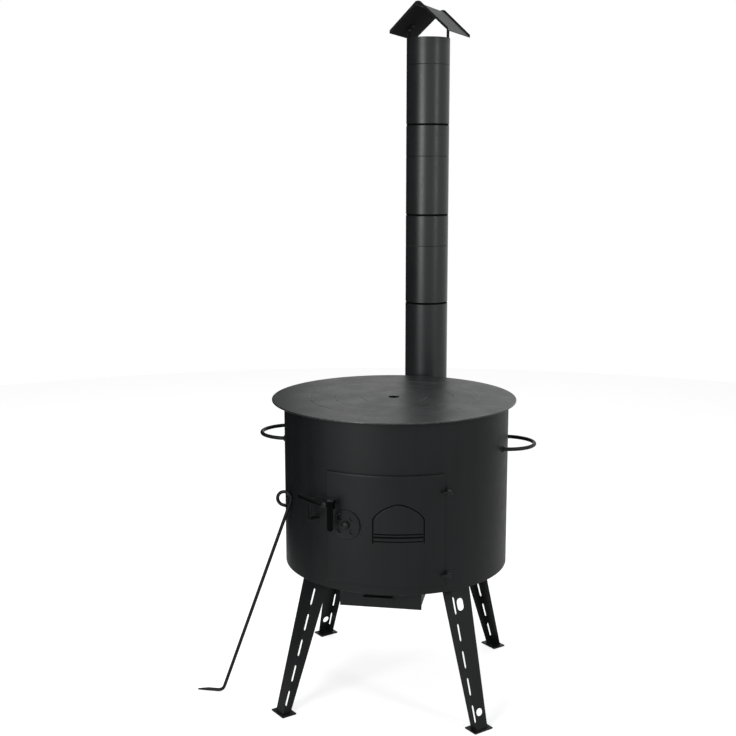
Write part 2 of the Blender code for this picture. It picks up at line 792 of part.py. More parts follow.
def make_door():
    low, high = DOOR_BOTTOM, DOOR_TOP
    back = SHELL_R + GAP
    door = panel("door", DOOR_LEFT, DOOR_RIGHT, back, DOOR_R, low, high)
    rim = DOOR_RIM / DOOR_R
    hollow = panel("door_hollow", DOOR_LEFT + rim, DOOR_RIGHT - rim, back - SHEET, DOOR_R - DOOR_SHEET,
                   low + DOOR_RIM, high - DOOR_RIM)
    cut(door, hollow)

    side, radius = hinge_axis()
    for z in HINGE_ZS:
        lug = slab("door_lug", lug_outline(-HINGE_SIDE - LUG_REACH, 2 * LUG_R), LUG_T)
        weld(door, place(lug, upright(side, radius, z + GAP / 2, math.pi / 2)))
        cut(door, place(drill("lug_drill", PIN_R + GAP, -LUG_T, 2 * LUG_T), upright(side, radius, z)))

    arch = []
    half = (ARCH_RIGHT - ARCH_LEFT) * DOOR_R / 2 - GROOVE / 2
    middle = (ARCH_LEFT + ARCH_RIGHT) / 2
    path = [(-half, ARCH_BOTTOM), (-half, ARCH_SPRING)]
    rise = ARCH_TOP - ARCH_SPRING - GROOVE / 2
    for i in range(1, 12):
        a = math.pi * (1 - i / 12)
        across = math.copysign(abs(math.cos(a)) ** ARCH_POWER, math.cos(a))
        path.append((half * across, ARCH_SPRING + rise * math.sin(a) ** ARCH_POWER))
    path += [(half, ARCH_SPRING), (half, ARCH_BOTTOM)]
    outline = strip_outline(path, GROOVE)
    count = len(path)
    for i in range(count):
        a = outline[i]
        b = outline[2 * count - 1 - i]
        arch.append([around(middle + s / DOOR_R, r, z) for (s, z), r in
                     ((a, DOOR_R - PRESS), (b, DOOR_R - PRESS), (b, DOOR_R + PRESS), (a, DOOR_R + PRESS))])
    cut(door, loft("arch_cut", arch))
    gap = (GROOVE * 1.5) / DOOR_R
    band = panel("band_cut", ARCH_LEFT + gap, ARCH_RIGHT - gap, DOOR_R - PRESS, DOOR_R + PRESS,
                 BAND_LOW, BAND_HIGH)
    cut(door, band)

    front = facing(DISC_SIDE, DISC_Z)
    cut(door, place(drill("disc_pin_cut", PIN_R + GAP, SHELL_R - SHEET, DOOR_R + SHEET), front))
    for i in range(DISC_HOLES):
        vent = drill("vent_cut", DISC_HOLE_R, SHELL_R - SHEET, DOOR_R + SHEET)
        cut(door, place(vent, front @ vent_spot(i + SHUT)))
    cut(door, place(drill("pivot_cut", BOLT_R + GAP, SHELL_R, DOOR_R + SHEET), facing(PIVOT_SIDE, PIVOT_Z)))
    return door


def vent_spot(i):
    """The middle of one of the disc's vents; the door's lie SHUT of a pitch further round."""
    a = math.tau * (i + 0.5) / DISC_HOLES
    return Matrix.Translation((DISC_HOLE_AT * math.cos(a), DISC_HOLE_AT * math.sin(a), 0))


def make_damper():
    front = facing(DISC_SIDE, DISC_Z)
    near = DOOR_R + GAP
    disc = stack("damper_disc", ((DISC_R, near, False), (DISC_R, near + SHEET, False)), 32)
    place(disc, front)
    cut(disc, place(drill("disc_cut", PIN_R + GAP, near - SHEET, near + 2 * SHEET), front))
    for i in range(DISC_HOLES):
        vent = drill("disc_vent_cut", DISC_HOLE_R, near - SHEET, near + 2 * SHEET)
        cut(disc, place(vent, front @ vent_spot(i)))
    edge = DISC_R - THUMB_IN
    thumb = block("disc_thumb", (edge, -THUMB_HALF, near + SHEET / 2),
                  (edge + THUMB_T, THUMB_HALF, near + SHEET + THUMB_RISE))
    weld(disc, place(thumb, front @ Matrix.Rotation(THUMB_TURN, 4, "Z")))

    outer = near + SHEET + GAP
    inner = DOOR_R - DOOR_SHEET - GAP - SHEET / 2
    knob = stack("damper_knob", ((KNOB_R, inner - SHEET / 2, False), (KNOB_R, inner, False),
                                 (PIN_R, inner, False), (PIN_R, outer, False), (KNOB_R, outer, False),
                                 (KNOB_R, outer + KNOB_T * DOME, False),
                                 (KNOB_R * DOME, outer + KNOB_T, False)))
    place(knob, front)
    return [disc, knob]


def bar_top(distance):
    """How far the latch bar's middle line lies above its pivot, to the left of it."""
    return distance * math.tan(BAR_RISE)


def make_latch():
    frame = facing(PIVOT_SIDE, PIVOT_Z)
    half = BAR_H / 2
    end = BAR_REACH - half
    right = GRIP_FROM + GRIP_W
    tab_top = GRIP_TOP - PIVOT_Z - GRIP_T / 2
    outline = [(GRIP_FROM, -half), (right, -half), (right, tab_top), (GRIP_FROM, tab_top),
               (GRIP_FROM, half), (0, half)]
    for i in range(9):
        a = math.pi / 2 - BAR_RISE + math.pi * i / 8
        outline.append((-end + half * math.cos(a), bar_top(end) + half * math.sin(a)))
    outline.append((0, -half))
    latch = loft("latch", [[(x, y, off) for x, y in outline] for off in (BAR_OFF, BAR_OFF + BAR_T)])
    place(latch, frame)

    path = [(BAR_OFF, GRIP_TOP - PIVOT_Z)]
    for i in range(5):
        a = math.pi / 2 * (1 - i / 4)
        path.append((GRIP_OFF + GRIP_BEND * (math.cos(a) - 1),
                     GRIP_TOP - PIVOT_Z + GRIP_BEND * (math.sin(a) - 1)))
    path.append((GRIP_OFF, GRIP_BOTTOM - PIVOT_Z + GRIP_W / 2))
    outline = strip_outline(path, -GRIP_T)
    grip = loft("grip", [[(x, y, off) for off, y in outline] for x in (GRIP_FROM, right)])
    weld(latch, place(grip, frame))
    tip = stack("grip_tip", ((GRIP_W / 2, GRIP_OFF - GRIP_T, False), (GRIP_W / 2, GRIP_OFF, False)),
                2 * HEX)
    low = Matrix.Translation((GRIP_FROM + GRIP_W / 2, GRIP_BOTTOM - PIVOT_Z + GRIP_W / 2, 0))
    weld(latch, place(tip, frame @ low))
    cut(latch, place(drill("latch_drill", BOLT_R + GAP, BAR_OFF - BAR_T, BAR_OFF + 2 * BAR_T), frame))

    inner = DOOR_R - DOOR_SHEET - GAP
    front = BAR_OFF + BAR_T
    pivot = stack("latch_pivot", ((TAIL_R, SHELL_R + 2 * GAP, False), (TAIL_R, inner, False),
                                  (BOLT_R, inner, False), (BOLT_R, DOOR_R + GAP, False),
                                  (SPACER_R, DOOR_R + GAP, False),
                                  (SPACER_R, BAR_OFF - GAP, False), (BOLT_R, BAR_OFF - GAP, False),
                                  (BOLT_R, front + GAP, False), (PIVOT_HEAD_R, front + GAP, False),
                                  (PIVOT_HEAD_R, front + PIVOT_HEAD_T * DOME, False),
                                  (PIVOT_HEAD_R * DOME, front + PIVOT_HEAD_T, False)))
    place(pivot, frame)

    turn = PIVOT_SIDE - CATCH_SIDE
    out = front / math.cos(turn) + CATCH_T
    nearest = out * math.sin(turn) - CATCH_W / 2
    rest = PIVOT_Z + bar_top(nearest) - half / math.cos(BAR_RISE) - GAP
    path = ((SHELL_R - SHEET, CATCH_FOOT), (out, CATCH_FOOT), (out, rest))
    outline = strip_outline(path, CATCH_T)
    rings = [[(x, z, off) for off, z in outline] for x in (-CATCH_W / 2, CATCH_W / 2)]
    catch = place(loft("latch_catch", rings), facing(CATCH_SIDE, 0.0))
    cut(catch, drill("catch_trim", SHELL_R + GAP, CATCH_FOOT - TRIM, CATCH_FOOT + TRIM, ROUND))
    return [latch, pivot, catch]


def make_poker():
    """A round bar with a bent, tapering toe and an eye bent at its top end."""
    dx = EYE_X - POKER_BEND
    dz = EYE_Z - POKER_R
    lean = math.atan2(dz, dx) - math.asin(EYE_R / math.hypot(dx, dz))
    way = (math.cos(lean), math.sin(lean))
    points = [(POKER_TIP + at, POKER_R * width) for at, width in TOE]
    widths = [width for at, width in TOE]
    for i in range(7):
        t = i / 6
        x = POKER_BEND + POKER_TURN * (t ** 2 * way[0] - (1 - t) ** 2)
        points.append((x, POKER_R + POKER_TURN * t ** 2 * way[1]))
        widths.append(1.0)
    first = lean - math.pi / 2
    sweep = math.tau - math.acos(1 - (2 * POKER_R + GAP * 2) / EYE_R)
    for i in range(25):
        a = first + sweep * i / 24
        points.append((EYE_X + EYE_R * math.cos(a), EYE_Z + EYE_R * math.sin(a)))
        widths.append(1.0)
    return rod("poker", [(x, POKER_Y, z) for x, z in points], POKER_R, 2, widths)


def settle(pieces):
    """Hangs every piece on one empty and moves it so the box's lowest middle is the origin."""
    bpy.context.view_layer.update()
    graph = bpy.context.evaluated_depsgraph_get()
    corners = []
    for piece in pieces:
        seen = piece.evaluated_get(graph)
        mesh = seen.to_mesh()
        corners += [seen.matrix_world @ v.co for v in mesh.vertices]
        seen.to_mesh_clear()
    middle = []
    for axis in range(2):
        values = [p[axis] for p in corners]
        middle.append((min(values) + max(values)) / 2)
    base = min(p.z for p in corners)
    stand = bpy.data.objects.new("stove", None)
    bpy.context.collection.objects.link(stand)
    for made in list(bpy.data.objects):
        if made is not stand and made.parent is None:
            made.parent = stand
    stand.location = (-middle[0], -middle[1], -base)


def main():
    clear_scene()
    pieces = [make_shell()]
    pieces += make_floor()
    pieces += make_ash_box()
    pieces += make_hob()
    pieces.append(make_elbow())
    pieces += make_pipes()
    pieces += make_cap()
    pieces += make_legs()
    pieces += make_handles()
    pieces += make_hinges()
    pieces.append(make_door())
    pieces += make_damper()
    pieces += make_latch()
    pieces.append(make_poker())
    settle(pieces)


main()
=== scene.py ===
"""The looks of the kazan stove: its painted steel, hob, fittings and light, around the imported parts."""
import json
import math

import bmesh
import bpy
from mathutils import Matrix, Vector


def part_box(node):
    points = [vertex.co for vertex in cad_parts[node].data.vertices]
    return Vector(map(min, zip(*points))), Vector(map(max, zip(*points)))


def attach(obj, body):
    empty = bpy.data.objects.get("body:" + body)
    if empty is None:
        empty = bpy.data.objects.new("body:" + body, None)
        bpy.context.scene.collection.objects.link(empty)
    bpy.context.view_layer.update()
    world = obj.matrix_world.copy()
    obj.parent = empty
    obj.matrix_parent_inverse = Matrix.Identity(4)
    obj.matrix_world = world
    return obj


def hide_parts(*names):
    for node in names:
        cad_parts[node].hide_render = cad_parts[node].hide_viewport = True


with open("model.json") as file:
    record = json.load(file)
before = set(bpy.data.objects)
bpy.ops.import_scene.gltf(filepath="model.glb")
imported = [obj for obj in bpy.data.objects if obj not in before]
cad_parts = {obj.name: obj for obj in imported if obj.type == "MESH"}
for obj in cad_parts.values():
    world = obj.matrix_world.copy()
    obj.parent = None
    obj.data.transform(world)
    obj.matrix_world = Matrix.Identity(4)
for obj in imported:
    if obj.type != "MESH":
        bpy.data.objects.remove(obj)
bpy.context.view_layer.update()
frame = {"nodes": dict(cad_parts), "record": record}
NODES = frame["nodes"]
RECORD = frame["record"]
SLOT_OF = {row["node"]: row["material_slot"] for row in RECORD["subparts"]}
BODY_OF = {n: body for body, nodes in RECORD["behaviour"]["bodies"].items() for n in nodes}
UP = Vector((0, 0, 1))

# The barrel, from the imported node
SHELL_LOW, SHELL_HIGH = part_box("firebox_shell")
AXIS = Vector(((SHELL_LOW.x + SHELL_HIGH.x) / 2, (SHELL_LOW.y + SHELL_HIGH.y) / 2, 0))
SHELL_R = (SHELL_HIGH.x - SHELL_LOW.x) / 2
SHEET = 0.002
GAP = 0.0003
FINE = 0.0006
SHELL_STEPS = 192

# Fire door, with its angles from -Y towards +X
DOOR_R = SHELL_R + 0.004
DOOR_SHEET = 0.0018
DOOR_LEFT = math.radians(-26.3)
DOOR_RIGHT = math.radians(32.0)
DOOR_BOTTOM = 0.299
DOOR_TOP = 0.527
DOOR_LAP = 0.012
OPENING_STEPS = 24
DOOR_RIM = 0.0025
ARCH_LEFT = math.radians(-2.5)
ARCH_RIGHT = math.radians(22.3)
ARCH_TOP = 0.4696
ARCH_SPRING = 0.436
ARCH_POWER = 1.5
ARCH_BOTTOM = 0.3902
GROOVE = 0.0030
GROOVE_DEEP = 0.0015
GROOVE_FULL = 0.7
# Each bar's height and width
BARS = ((0.4085, 0.0022), (0.4019, 0.0048), (0.3935, 0.0026))
# The coarse and the fine steps of the door's grid, across in radians and up in metres
SIDE_STEPS = (0.006, 0.0022)
LEVEL_STEPS = (0.007, 0.0007)
BAR_ZONE = (ARCH_BOTTOM - 0.004, ARCH_BOTTOM + 0.024)
ARCH_ZONE = (ARCH_SPRING, ARCH_TOP + 0.003)
PIN_HOLE = 0.0033
PIVOT_HOLE = 0.0043
HOLE_PAST = 0.004
HOLE_STEPS = 32
HINGE_ZS = (0.3195, 0.4903)
HINGE_SIDE = 0.0070
HINGE_OUT = 0.0045
LUG_AT = DOOR_RIGHT + HINGE_SIDE / DOOR_R
LUG_R = 0.0060
LUG_REACH = 0.008
LUG_T = 0.003

# Draught disc
DISC_SIDE = math.radians(-15.2)
DISC_Z = 0.4225
DISC_R = 0.030
DISC_NEAR = DOOR_R + GAP
DISC_FAR = DISC_NEAR + SHEET
DISC_FOOT = 0.0004
DISC_ROUND = 0.0005
DISC_CREST = 0.0001
RIM_W = 0.0034
DISH_FROM = DISC_R - 0.0050
DISH_TO = 0.0125
HUB_R = 0.0110
VENTS = 4
VENT_AT = 0.019
VENT_R = 0.0055
THUMB_TURN = math.radians(125)
THUMB_IN = DISC_R - 0.006
THUMB_T = 0.0025
THUMB_ROOT = 0.001
THUMB_UP = (0.0042, 0.0050)
THUMB_HALF = 0.006
THUMB_CUT = 0.0015
KNOB_R = 0.008
KNOB_WALL = 0.0042
KNOB_DOME = 0.0038
PIN_R = 0.003
TIP_R = 0.0006
DISC_STEPS = 96
HEAD_STEPS = 48

# Latch and catch
PIVOT_SIDE = math.radians(-24.5)
PIVOT_Z = 0.4620
PIVOT_R = 0.004
PIVOT_EDGE = 0.0005
PIVOT_HEAD_R = 0.0065
PIVOT_HEAD_EDGE = 0.0004
PIVOT_HEAD_WALL = 0.0012
PIVOT_DOME = 0.0025
BAR_OFF = DOOR_R + 0.014
BAR_T = 0.003
SPACER_R = 0.007
TAIL_R = 0.0047
CATCH_SIDE = math.radians(-32.3)
CATCH_W = 0.008
CATCH_T = 0.003
CATCH_FOOT = 0.4245

# Chimney
FLUE_SIDE = math.radians(3.9)
FLUE_OUT = SHELL_R + 0.0918
FLUE_AT = (AXIS.x + FLUE_OUT * math.sin(FLUE_SIDE), AXIS.y + FLUE_OUT * math.cos(FLUE_SIDE))
FLUE_WAY = Vector((math.sin(FLUE_SIDE), math.cos(FLUE_SIDE), 0))
FLUE_ACROSS = Vector((math.cos(FLUE_SIDE), -math.sin(FLUE_SIDE), 0))
FLUE_R = 0.050
FLUE_WALL = 0.001
FLUE_STEPS = 72
CUT_IN = 0.04
CUT_OUT = 0.02
STUB_Z = 0.490
STUB_FROM = SHELL_R - 0.017
STUB_TO = SHELL_R + 0.02
BEND_R = 0.065
BEND = AXIS + FLUE_WAY * (FLUE_OUT - BEND_R) + UP * (STUB_Z + BEND_R)
GORES = 5
SOCKET_TOP = 0.605
PIPE_STEPS = 96
MOUTHS = (0.9379, 1.1443, 1.3507)
LIP = 0.0006
ROLL_DROP = 0.1342
ROLL_DEEP = 0.001
ROLL_HALF = 0.0024
SHOULDER_UP = 0.0012
SHOULDER_IN = 0.0008
NECK = 0.045
NECK_CUT = 0.0018
NECK_R = FLUE_R - NECK_CUT
NECK_TAPER = 0.003
NECK_END = 0.0004
PIPE_SEAM_SIDE = math.radians(168)
PIPE_SEAM_HALF = 0.0035
PIPE_SEAM_SUNK = 0.0002
PIPE_SEAM_PROUD = 0.0007
PIPE_SEAM_FOOT = 0.004
PIPE_SEAM_TOP = 0.003
COLLAR_TOP = 1.4107
COLLAR_DEPTH = 0.040

# Hob
HOB_LOW, HOB_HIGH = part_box("hob_plate")
HOB_MIDDLE = ((HOB_LOW.x + HOB_HIGH.x) / 2, (HOB_LOW.y + HOB_HIGH.y) / 2)
HOB_R = (HOB_HIGH.x - HOB_LOW.x) / 2
HOB_TOP = HOB_HIGH.z
HOB_T = 0.003
HOB_UNDER = HOB_TOP - HOB_T
HOB_STEPS = 224
HOB_RIM = (0.0009, 0.0012)
COLLAR_PLAY = 0.0055
HOB_COLLAR_R = SHELL_R - SHEET - COLLAR_PLAY
HOB_COLLAR = 0.012
HOB_HOLE = 0.180
RING_HOLE = 0.1275
RING_STEPS = 192
LID_R = 0.070
LID_STEPS = 128
LIFT_R = 0.0123
HOB_FIT = 0.0005
LEDGE = 0.009
LEDGE_T = 0.002

# Handles and poker
BEND_STEPS = 48
ROD_R = 0.004
ROD_SIDES = 24
# Each handle's node, side, height and half width
HANDLES = (("handle_left", -1, 0.5513, 0.064), ("handle_right", 1, 0.5453, 0.058))
HANDLE_OUT = SHELL_R + 0.0558
POKER_R = 0.0035
POKER_SIDES = 20
POKER_Y = -0.139
EYE_R = 0.0145
EYE_CLEAR = 0.0011
EYE_Z = 0.441
POKER_FOOT = 0.1431
TOE_LONG = 0.0565
POKER_TURN = 0.012
# The toe's stations: how far from its tip, and its share of the bar's thickness
TOE = ((0.0, 0.45), (0.012, 0.75), (0.024, 1.0))

# Weld beads: their radii, and how far they stand from what they join
BEAD_SIDES = 10
RIPPLE = 0.18
RIPPLE_PITCH = 0.0022
SEAM_BEAD = 0.0011
SEAM_OFF = 0.0001
SEAM_SIDE = math.radians(148)
SEAM_MARGIN = 0.002
SEAM_STEPS = 240
RING_BEAD_STEPS = 144
ELBOW_BEAD = 0.0016
ELBOW_BEAD_R = FLUE_R + 0.0008
ELBOW_BEAD_OUT = SHELL_R + 0.0006
GORE_BEAD = 0.0009
HANDLE_BEAD = 0.0017
HANDLE_BEAD_R = ROD_R + 0.0006
HANDLE_BEAD_OUT = SHELL_R + 0.0004
EYE_BEAD = 0.0013
EYE_BEAD_SPREAD = (0.0018, 0.0032)
EYE_BEAD_DROP = 0.0022
WELD_BEAD = 0.0014
WELD_OUT = SHELL_R + 0.0005
WELD_OFF = 0.0004
WELD_STEP = 0.0006

# Edges of the finer copies
BEVEL_STEPS = 2
THIN_BEVEL = 0.0003
BEVEL = 0.0004
LEG_BEVEL = 0.0005
# How squarely a face must look along the radius to count as a round wall
ROUND_WALL = 0.985

# Stage
AMBIENT = 0.35
FLOOR_R = 4.0
FLOOR_DROP = 0.0002
FLOOR_TONE = 0.86
FLOOR_ROUGH = 0.9
FLOOR_GLOW = 0.62
FLOOR_SHEEN = 0.15
# Each lamp's name, place, aim, size and power
LAMPS = (("key", (-1.25, -2.55, 1.30), (0, 0, 0.65), (1.2, 1.3), 44),
         ("right_strip", (2.1, -1.15, 1.45), (0, 0, 1.0), (0.35, 1.3), 11),
         ("top", (-0.4, 0.6, 2.9), (0, 0, 0.6), (1.6, 1.6), 20))
CARD_TONE = 0.01
CARD = ((-0.8, -0.5, 0), (-0.8, 2.4, 0), (-0.8, 2.4, 2.2), (-0.8, -0.5, 2.2))

# Camera, from the photograph's perspective, relative to the barrel's axis
CAMERA_AT = Vector((0.3570, -2.3645, 1.1175))
CAMERA_WAY = Vector((-0.1715, 0.9700, -0.1725))
CAMERA_ROLL = math.radians(-0.0706)
LENS = 55.78
SENSOR = 36.0


class Shader:
    """Builds one node material, a step at a time."""

    def __init__(self, name):
        self.material = bpy.data.materials.new(name)
        self.material.use_nodes = True
        self.tree = self.material.node_tree
        self.main = self.tree.nodes["Principled BSDF"]
        self.place = self.tree.nodes.new("ShaderNodeTexCoord").outputs["Object"]

    def set(self, name, value):
        """Gives a socket of the surface one value."""
        self.main.inputs[name].default_value = value

    def link(self, source, name):
        """Feeds a socket of the surface."""
        self.tree.links.new(source, self.main.inputs[name])

    def noise(self, scale, detail=4.0, stretch=None):
        """Noise in the object's own space, stretched by a share along each axis."""
        node = self.tree.nodes.new("ShaderNodeTexNoise")
        node.inputs["Scale"].default_value = scale
        node.inputs["Detail"].default_value = detail
        source = self.place
        if stretch:
            mapping = self.tree.nodes.new("ShaderNodeMapping")
            mapping.inputs["Scale"].default_value = stretch
            self.tree.links.new(source, mapping.inputs["Vector"])
            source = mapping.outputs["Vector"]
        self.tree.links.new(source, node.inputs["Vector"])
        return node.outputs["Fac"]

    def ramp(self, source, *stops):
        """A colour ramp with (place, colour or grey) stops."""
        node = self.tree.nodes.new("ShaderNodeValToRGB")
        marks = node.color_ramp.elements
        while len(marks) < len(stops):
            marks.new(0.5)
        for mark, (at, color) in zip(marks, stops):
            mark.position = at
            mark.color = (*color, 1.0) if isinstance(color, tuple) else (color, color, color, 1.0)
        self.tree.links.new(source, node.inputs["Fac"])
        return node.outputs["Color"]

    def mix(self, factor, first, second):
        """One colour laid over another, as far as the factor says."""
        node = self.tree.nodes.new("ShaderNodeMix")
        node.data_type = "RGBA"
        colors = [i for i in node.inputs if i.type == "RGBA"]
        self.tree.links.new(factor, node.inputs[0])
        self.tree.links.new(first, colors[0])
        self.tree.links.new(second, colors[1])
        return [o for o in node.outputs if o.type == "RGBA"][0]

    def math(self, operation, first, second):
        """Two numbers or sockets put together."""
        node = self.tree.nodes.new("ShaderNodeMath")
        node.operation = operation
        for socket, value in zip(node.inputs, (first, second)):
            if isinstance(value, (int, float)):
                socket.default_value = value
            else:
                self.tree.links.new(value, socket)
        return node.outputs[0]

    def span(self, source, low, high, start=0.3, end=0.7):
        """The source's range from start to end, drawn out to run from low to high."""
        node = self.tree.nodes.new("ShaderNodeMapRange")
        for name, value in (("From Min", start), ("From Max", end), ("To Min", low), ("To Max", high)):
            node.inputs[name].default_value = value
        self.tree.links.new(source, node.inputs["Value"])
        return node.outputs["Result"]

    def bump(self, *heights):
        """Bumps in a row, each a (source, height in metres)."""
        previous = None
        for source, distance in heights:
            node = self.tree.nodes.new("ShaderNodeBump")
            node.inputs["Strength"].default_value = 1.0
            node.inputs["Distance"].default_value = distance
            self.tree.links.new(source, node.inputs["Height"])
            if previous:
                self.tree.links.new(previous, node.inputs["Normal"])
            previous = node.outputs["Normal"]
        self.link(previous, "Normal")


def tinted(tone, share):
    """A tone made darker or lighter."""
    return tuple(c * share for c in tone)


def paint(name, tone, rough, level, worn=0.0):
    """Satin heat-resistant paint: clouded, with an orange-peel grain, faint runs, dust and rubbed spots."""
    s = Shader(name)
    clouds = s.noise(7.0, 3.0)
    runs = s.noise(1.0, 4.0, (38.0, 38.0, 3.0))
    mottle = s.noise(70.0, 4.0)
    mixed = s.math("ADD", s.math("MULTIPLY", clouds, 0.5), s.math("MULTIPLY", runs, 0.5))
    color = s.ramp(mixed, (0.36, tinted(tone, 0.84)), (0.64, tinted(tone, 1.18)))
    dust = s.ramp(s.noise(420.0, 1.0), (0.735, 0.0), (0.79, 0.5))
    color = s.mix(dust, color, s.ramp(mottle, (0.3, tinted(tone, 2.2)), (0.7, tinted(tone, 3.2))))
    uneven = s.math("ADD", s.math("MULTIPLY", mottle, 0.6), s.math("MULTIPLY", clouds, 0.4))
    roughness = s.span(uneven, rough - 0.05, rough + 0.05)
    if worn:
        rubbing = s.math("MULTIPLY", s.noise(55.0, 5.0), s.math("ADD", s.noise(9.0, 2.0), 0.5))
        patches = s.ramp(rubbing, (0.52 - 0.1 * worn, 0.0), (0.60, worn))
        steel = s.ramp(mottle, (0.3, (0.055, 0.055, 0.056)), (0.7, (0.125, 0.123, 0.120)))
        color = s.mix(patches, color, steel)
        s.link(s.span(patches, 0.0, 0.75, 0.0, 1.0), "Metallic")
    s.link(color, "Base Color")
    s.link(roughness, "Roughness")
    s.set("Specular IOR Level", level)
    s.bump((s.noise(240.0, 2.0), 0.00004), (s.noise(950.0, 2.0), 0.000012))
    return s.material


def hob_paint(name, tone, rough, level):
    """The hob's paint: crossing streaks of fine scuffs over heat-dulled patches."""
    s = Shader(name)
    mottle = s.noise(16.0, 5.0)
    fine = s.noise(150.0, 4.0)
    scuffs = s.ramp(s.noise(1.0, 6.0, (14.0, 210.0, 14.0)), (0.62, 0.0), (0.74, 0.55))
    streaks = s.ramp(s.noise(1.0, 6.0, (260.0, 11.0, 14.0)), (0.64, 0.0), (0.76, 0.4))
    color = s.ramp(mottle, (0.3, tinted(tone, 0.85)), (0.7, tinted(tone, 1.2)))
    color = s.mix(s.math("MAXIMUM", scuffs, streaks), color, s.ramp(fine, (0.3, 0.035), (0.7, 0.070)))
    s.link(color, "Base Color")
    uneven = s.math("ADD", s.math("MULTIPLY", mottle, 0.7), s.math("MULTIPLY", fine, 0.3))
    s.link(s.span(uneven, rough - 0.05, rough + 0.07), "Roughness")
    s.set("Specular IOR Level", level)
    s.bump((s.noise(200.0, 2.0), 0.00004), (fine, 0.00003), (mottle, 0.00012))
    return s.material


def iron(name):
    """Cast iron with sand grain and a trace of rust."""
    s = Shader(name)
    rust = s.ramp(s.noise(38.0, 6.0), (0.50, 0.0), (0.72, 0.6))
    body = s.ramp(s.noise(12.0, 4.0), (0.3, (0.022, 0.022, 0.022)), (0.7, (0.040, 0.039, 0.038)))
    brown = s.ramp(s.noise(120.0, 3.0), (0.3, (0.050, 0.028, 0.017)), (0.7, (0.085, 0.046, 0.026)))
    s.link(s.mix(rust, body, brown), "Base Color")
    s.link(s.span(rust, 0.58, 0.85, 0.0, 0.6), "Roughness")
    s.bump((s.noise(420.0, 3.0), 0.00018), (s.noise(70.0, 3.0), 0.00025))
    return s.material


def zinc(name):
    """Bright zinc plate, lightly mottled."""
    s = Shader(name)
    grain = s.noise(260.0, 4.0)
    s.link(s.ramp(grain, (0.3, (0.42, 0.43, 0.44)), (0.7, (0.60, 0.61, 0.62))), "Base Color")
    s.link(s.span(grain, 0.24, 0.42), "Roughness")
    s.set("Metallic", 1.0)
    s.bump((grain, 0.00003))
    return s.material


# Looks: a face, an edge and, where a pick or a groove needs one, a third material; the third ones are
# painted shade, in grooves, under the cap and on the latch's grip
BLACK = (0.0074, 0.0083, 0.0087)
PIPE_BLACK = (0.0135, 0.0150, 0.0156)
DEEP = (0.0030, 0.0032, 0.0034)
# Faces looking less upward than this take painted shade on the cap
PAINTED_SHADE_BELOW = 0.3
# Faces looking more upward than this take the edge paint: wear and a painted highlight
WORN_AND_LIT_ABOVE = 0.5
# The grip's faces standing out beyond this take the darkest paint, painted shade
GRIP_BEYOND = BAR_OFF + 2 * BAR_T
edge_paint = paint("satin_black_edge", BLACK, 0.38, 0.25, 0.45)
# Painted shade: a near-black matt paint laid into the grooves of the door and the pipes
painted_groove_shade = paint("recess_painted_shade", DEEP, 0.70, 0.02)
# Painted shade: a darker, matter paint on the cap's faces that don't look upward
cap_painted_shade = paint("cap_painted_shade", (0.0110, 0.0110, 0.0111), 0.80, 0.06)
LOOKS = {
    "satin_black": (paint("satin_black_paint", BLACK, 0.42, 0.17), edge_paint, painted_groove_shade),
    "pipe": (paint("pipe_paint", PIPE_BLACK, 0.34, 0.34), edge_paint, painted_groove_shade),
    "cap": (paint("cap_paint", PIPE_BLACK, 0.45, 0.10), edge_paint, cap_painted_shade),
    # The latch and its catch are painted darker than the barrel, painted shade; the grip's outer face is
    # darker still
    "latch": (paint("latch_painted_shade", (0.0042, 0.0045, 0.0047), 0.45, 0.05), edge_paint,
              paint("grip_painted_shade", (0.0016, 0.0017, 0.0018), 0.50, 0.02)),
    "hob_black": (hob_paint("hob_paint", (0.015, 0.0165, 0.017), 0.40, 0.20),
                  paint("hob_edge", (0.018, 0.019, 0.020), 0.26, 0.50, 0.6)),
    "raw_iron": (iron("cast_iron"), iron("cast_iron_edge")),
    "bright_zinc": (zinc("zinc_plate"), zinc("zinc_edge")),
}


def placed(made):
    """The object, put into the scene."""
    bpy.context.scene.collection.objects.link(made)
    return made


def finish_piece(name, bm, node, replaces=(), angle=30, bevel=0.0, weigh=True, look=None):
    """Makes the piece, gives it its look's materials and hangs it on the body of the node it belongs to."""
    bmesh.ops.recalc_face_normals(bm, faces=bm.faces)
    mesh = bpy.data.meshes.new(name)
    bm.to_mesh(mesh)
    bm.free()
    mesh.shade_smooth()
    mesh.set_sharp_from_angle(angle=math.radians(angle))
    for material in LOOKS[look or SLOT_OF[node]]:
        mesh.materials.append(material)
    piece = placed(bpy.data.objects.new(name, mesh))
    if bevel:
        step = piece.modifiers.new("edges", "BEVEL")
        step.width = bevel
        step.segments = BEVEL_STEPS
        step.limit_method = "ANGLE"
        step.angle_limit = math.radians(angle)
        step.use_clamp_overlap = True
        step.material = 1
    if weigh:
        step = piece.modifiers.new("normals", "WEIGHTED_NORMAL")
        step.keep_sharp = True
    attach(piece, BODY_OF[node])
    if replaces:
        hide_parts(*replaces)
    return piece


def painted_shade_below(face):
    """Painted shade: a darker, matter paint wherever a face doesn't look upwards."""
    return 2 if face.normal.z < PAINTED_SHADE_BELOW else 0


def rubbed(face):
    """Worn paint on what looks upwards, which also paints a highlight on the tops."""
    return 1 if face.normal.z > WORN_AND_LIT_ABOVE else 0


def grip_lit_and_shaded(face):
    """Worn paint with a painted highlight on what looks upwards, and painted shade, the darkest paint, on
    the grip's outer face.
    """
    spot = face.calc_center_median() - AXIS
    if face.normal.z < WORN_AND_LIT_ABOVE and math.hypot(spot.x, spot.y) > GRIP_BEYOND:
        return 2
    return rubbed(face)


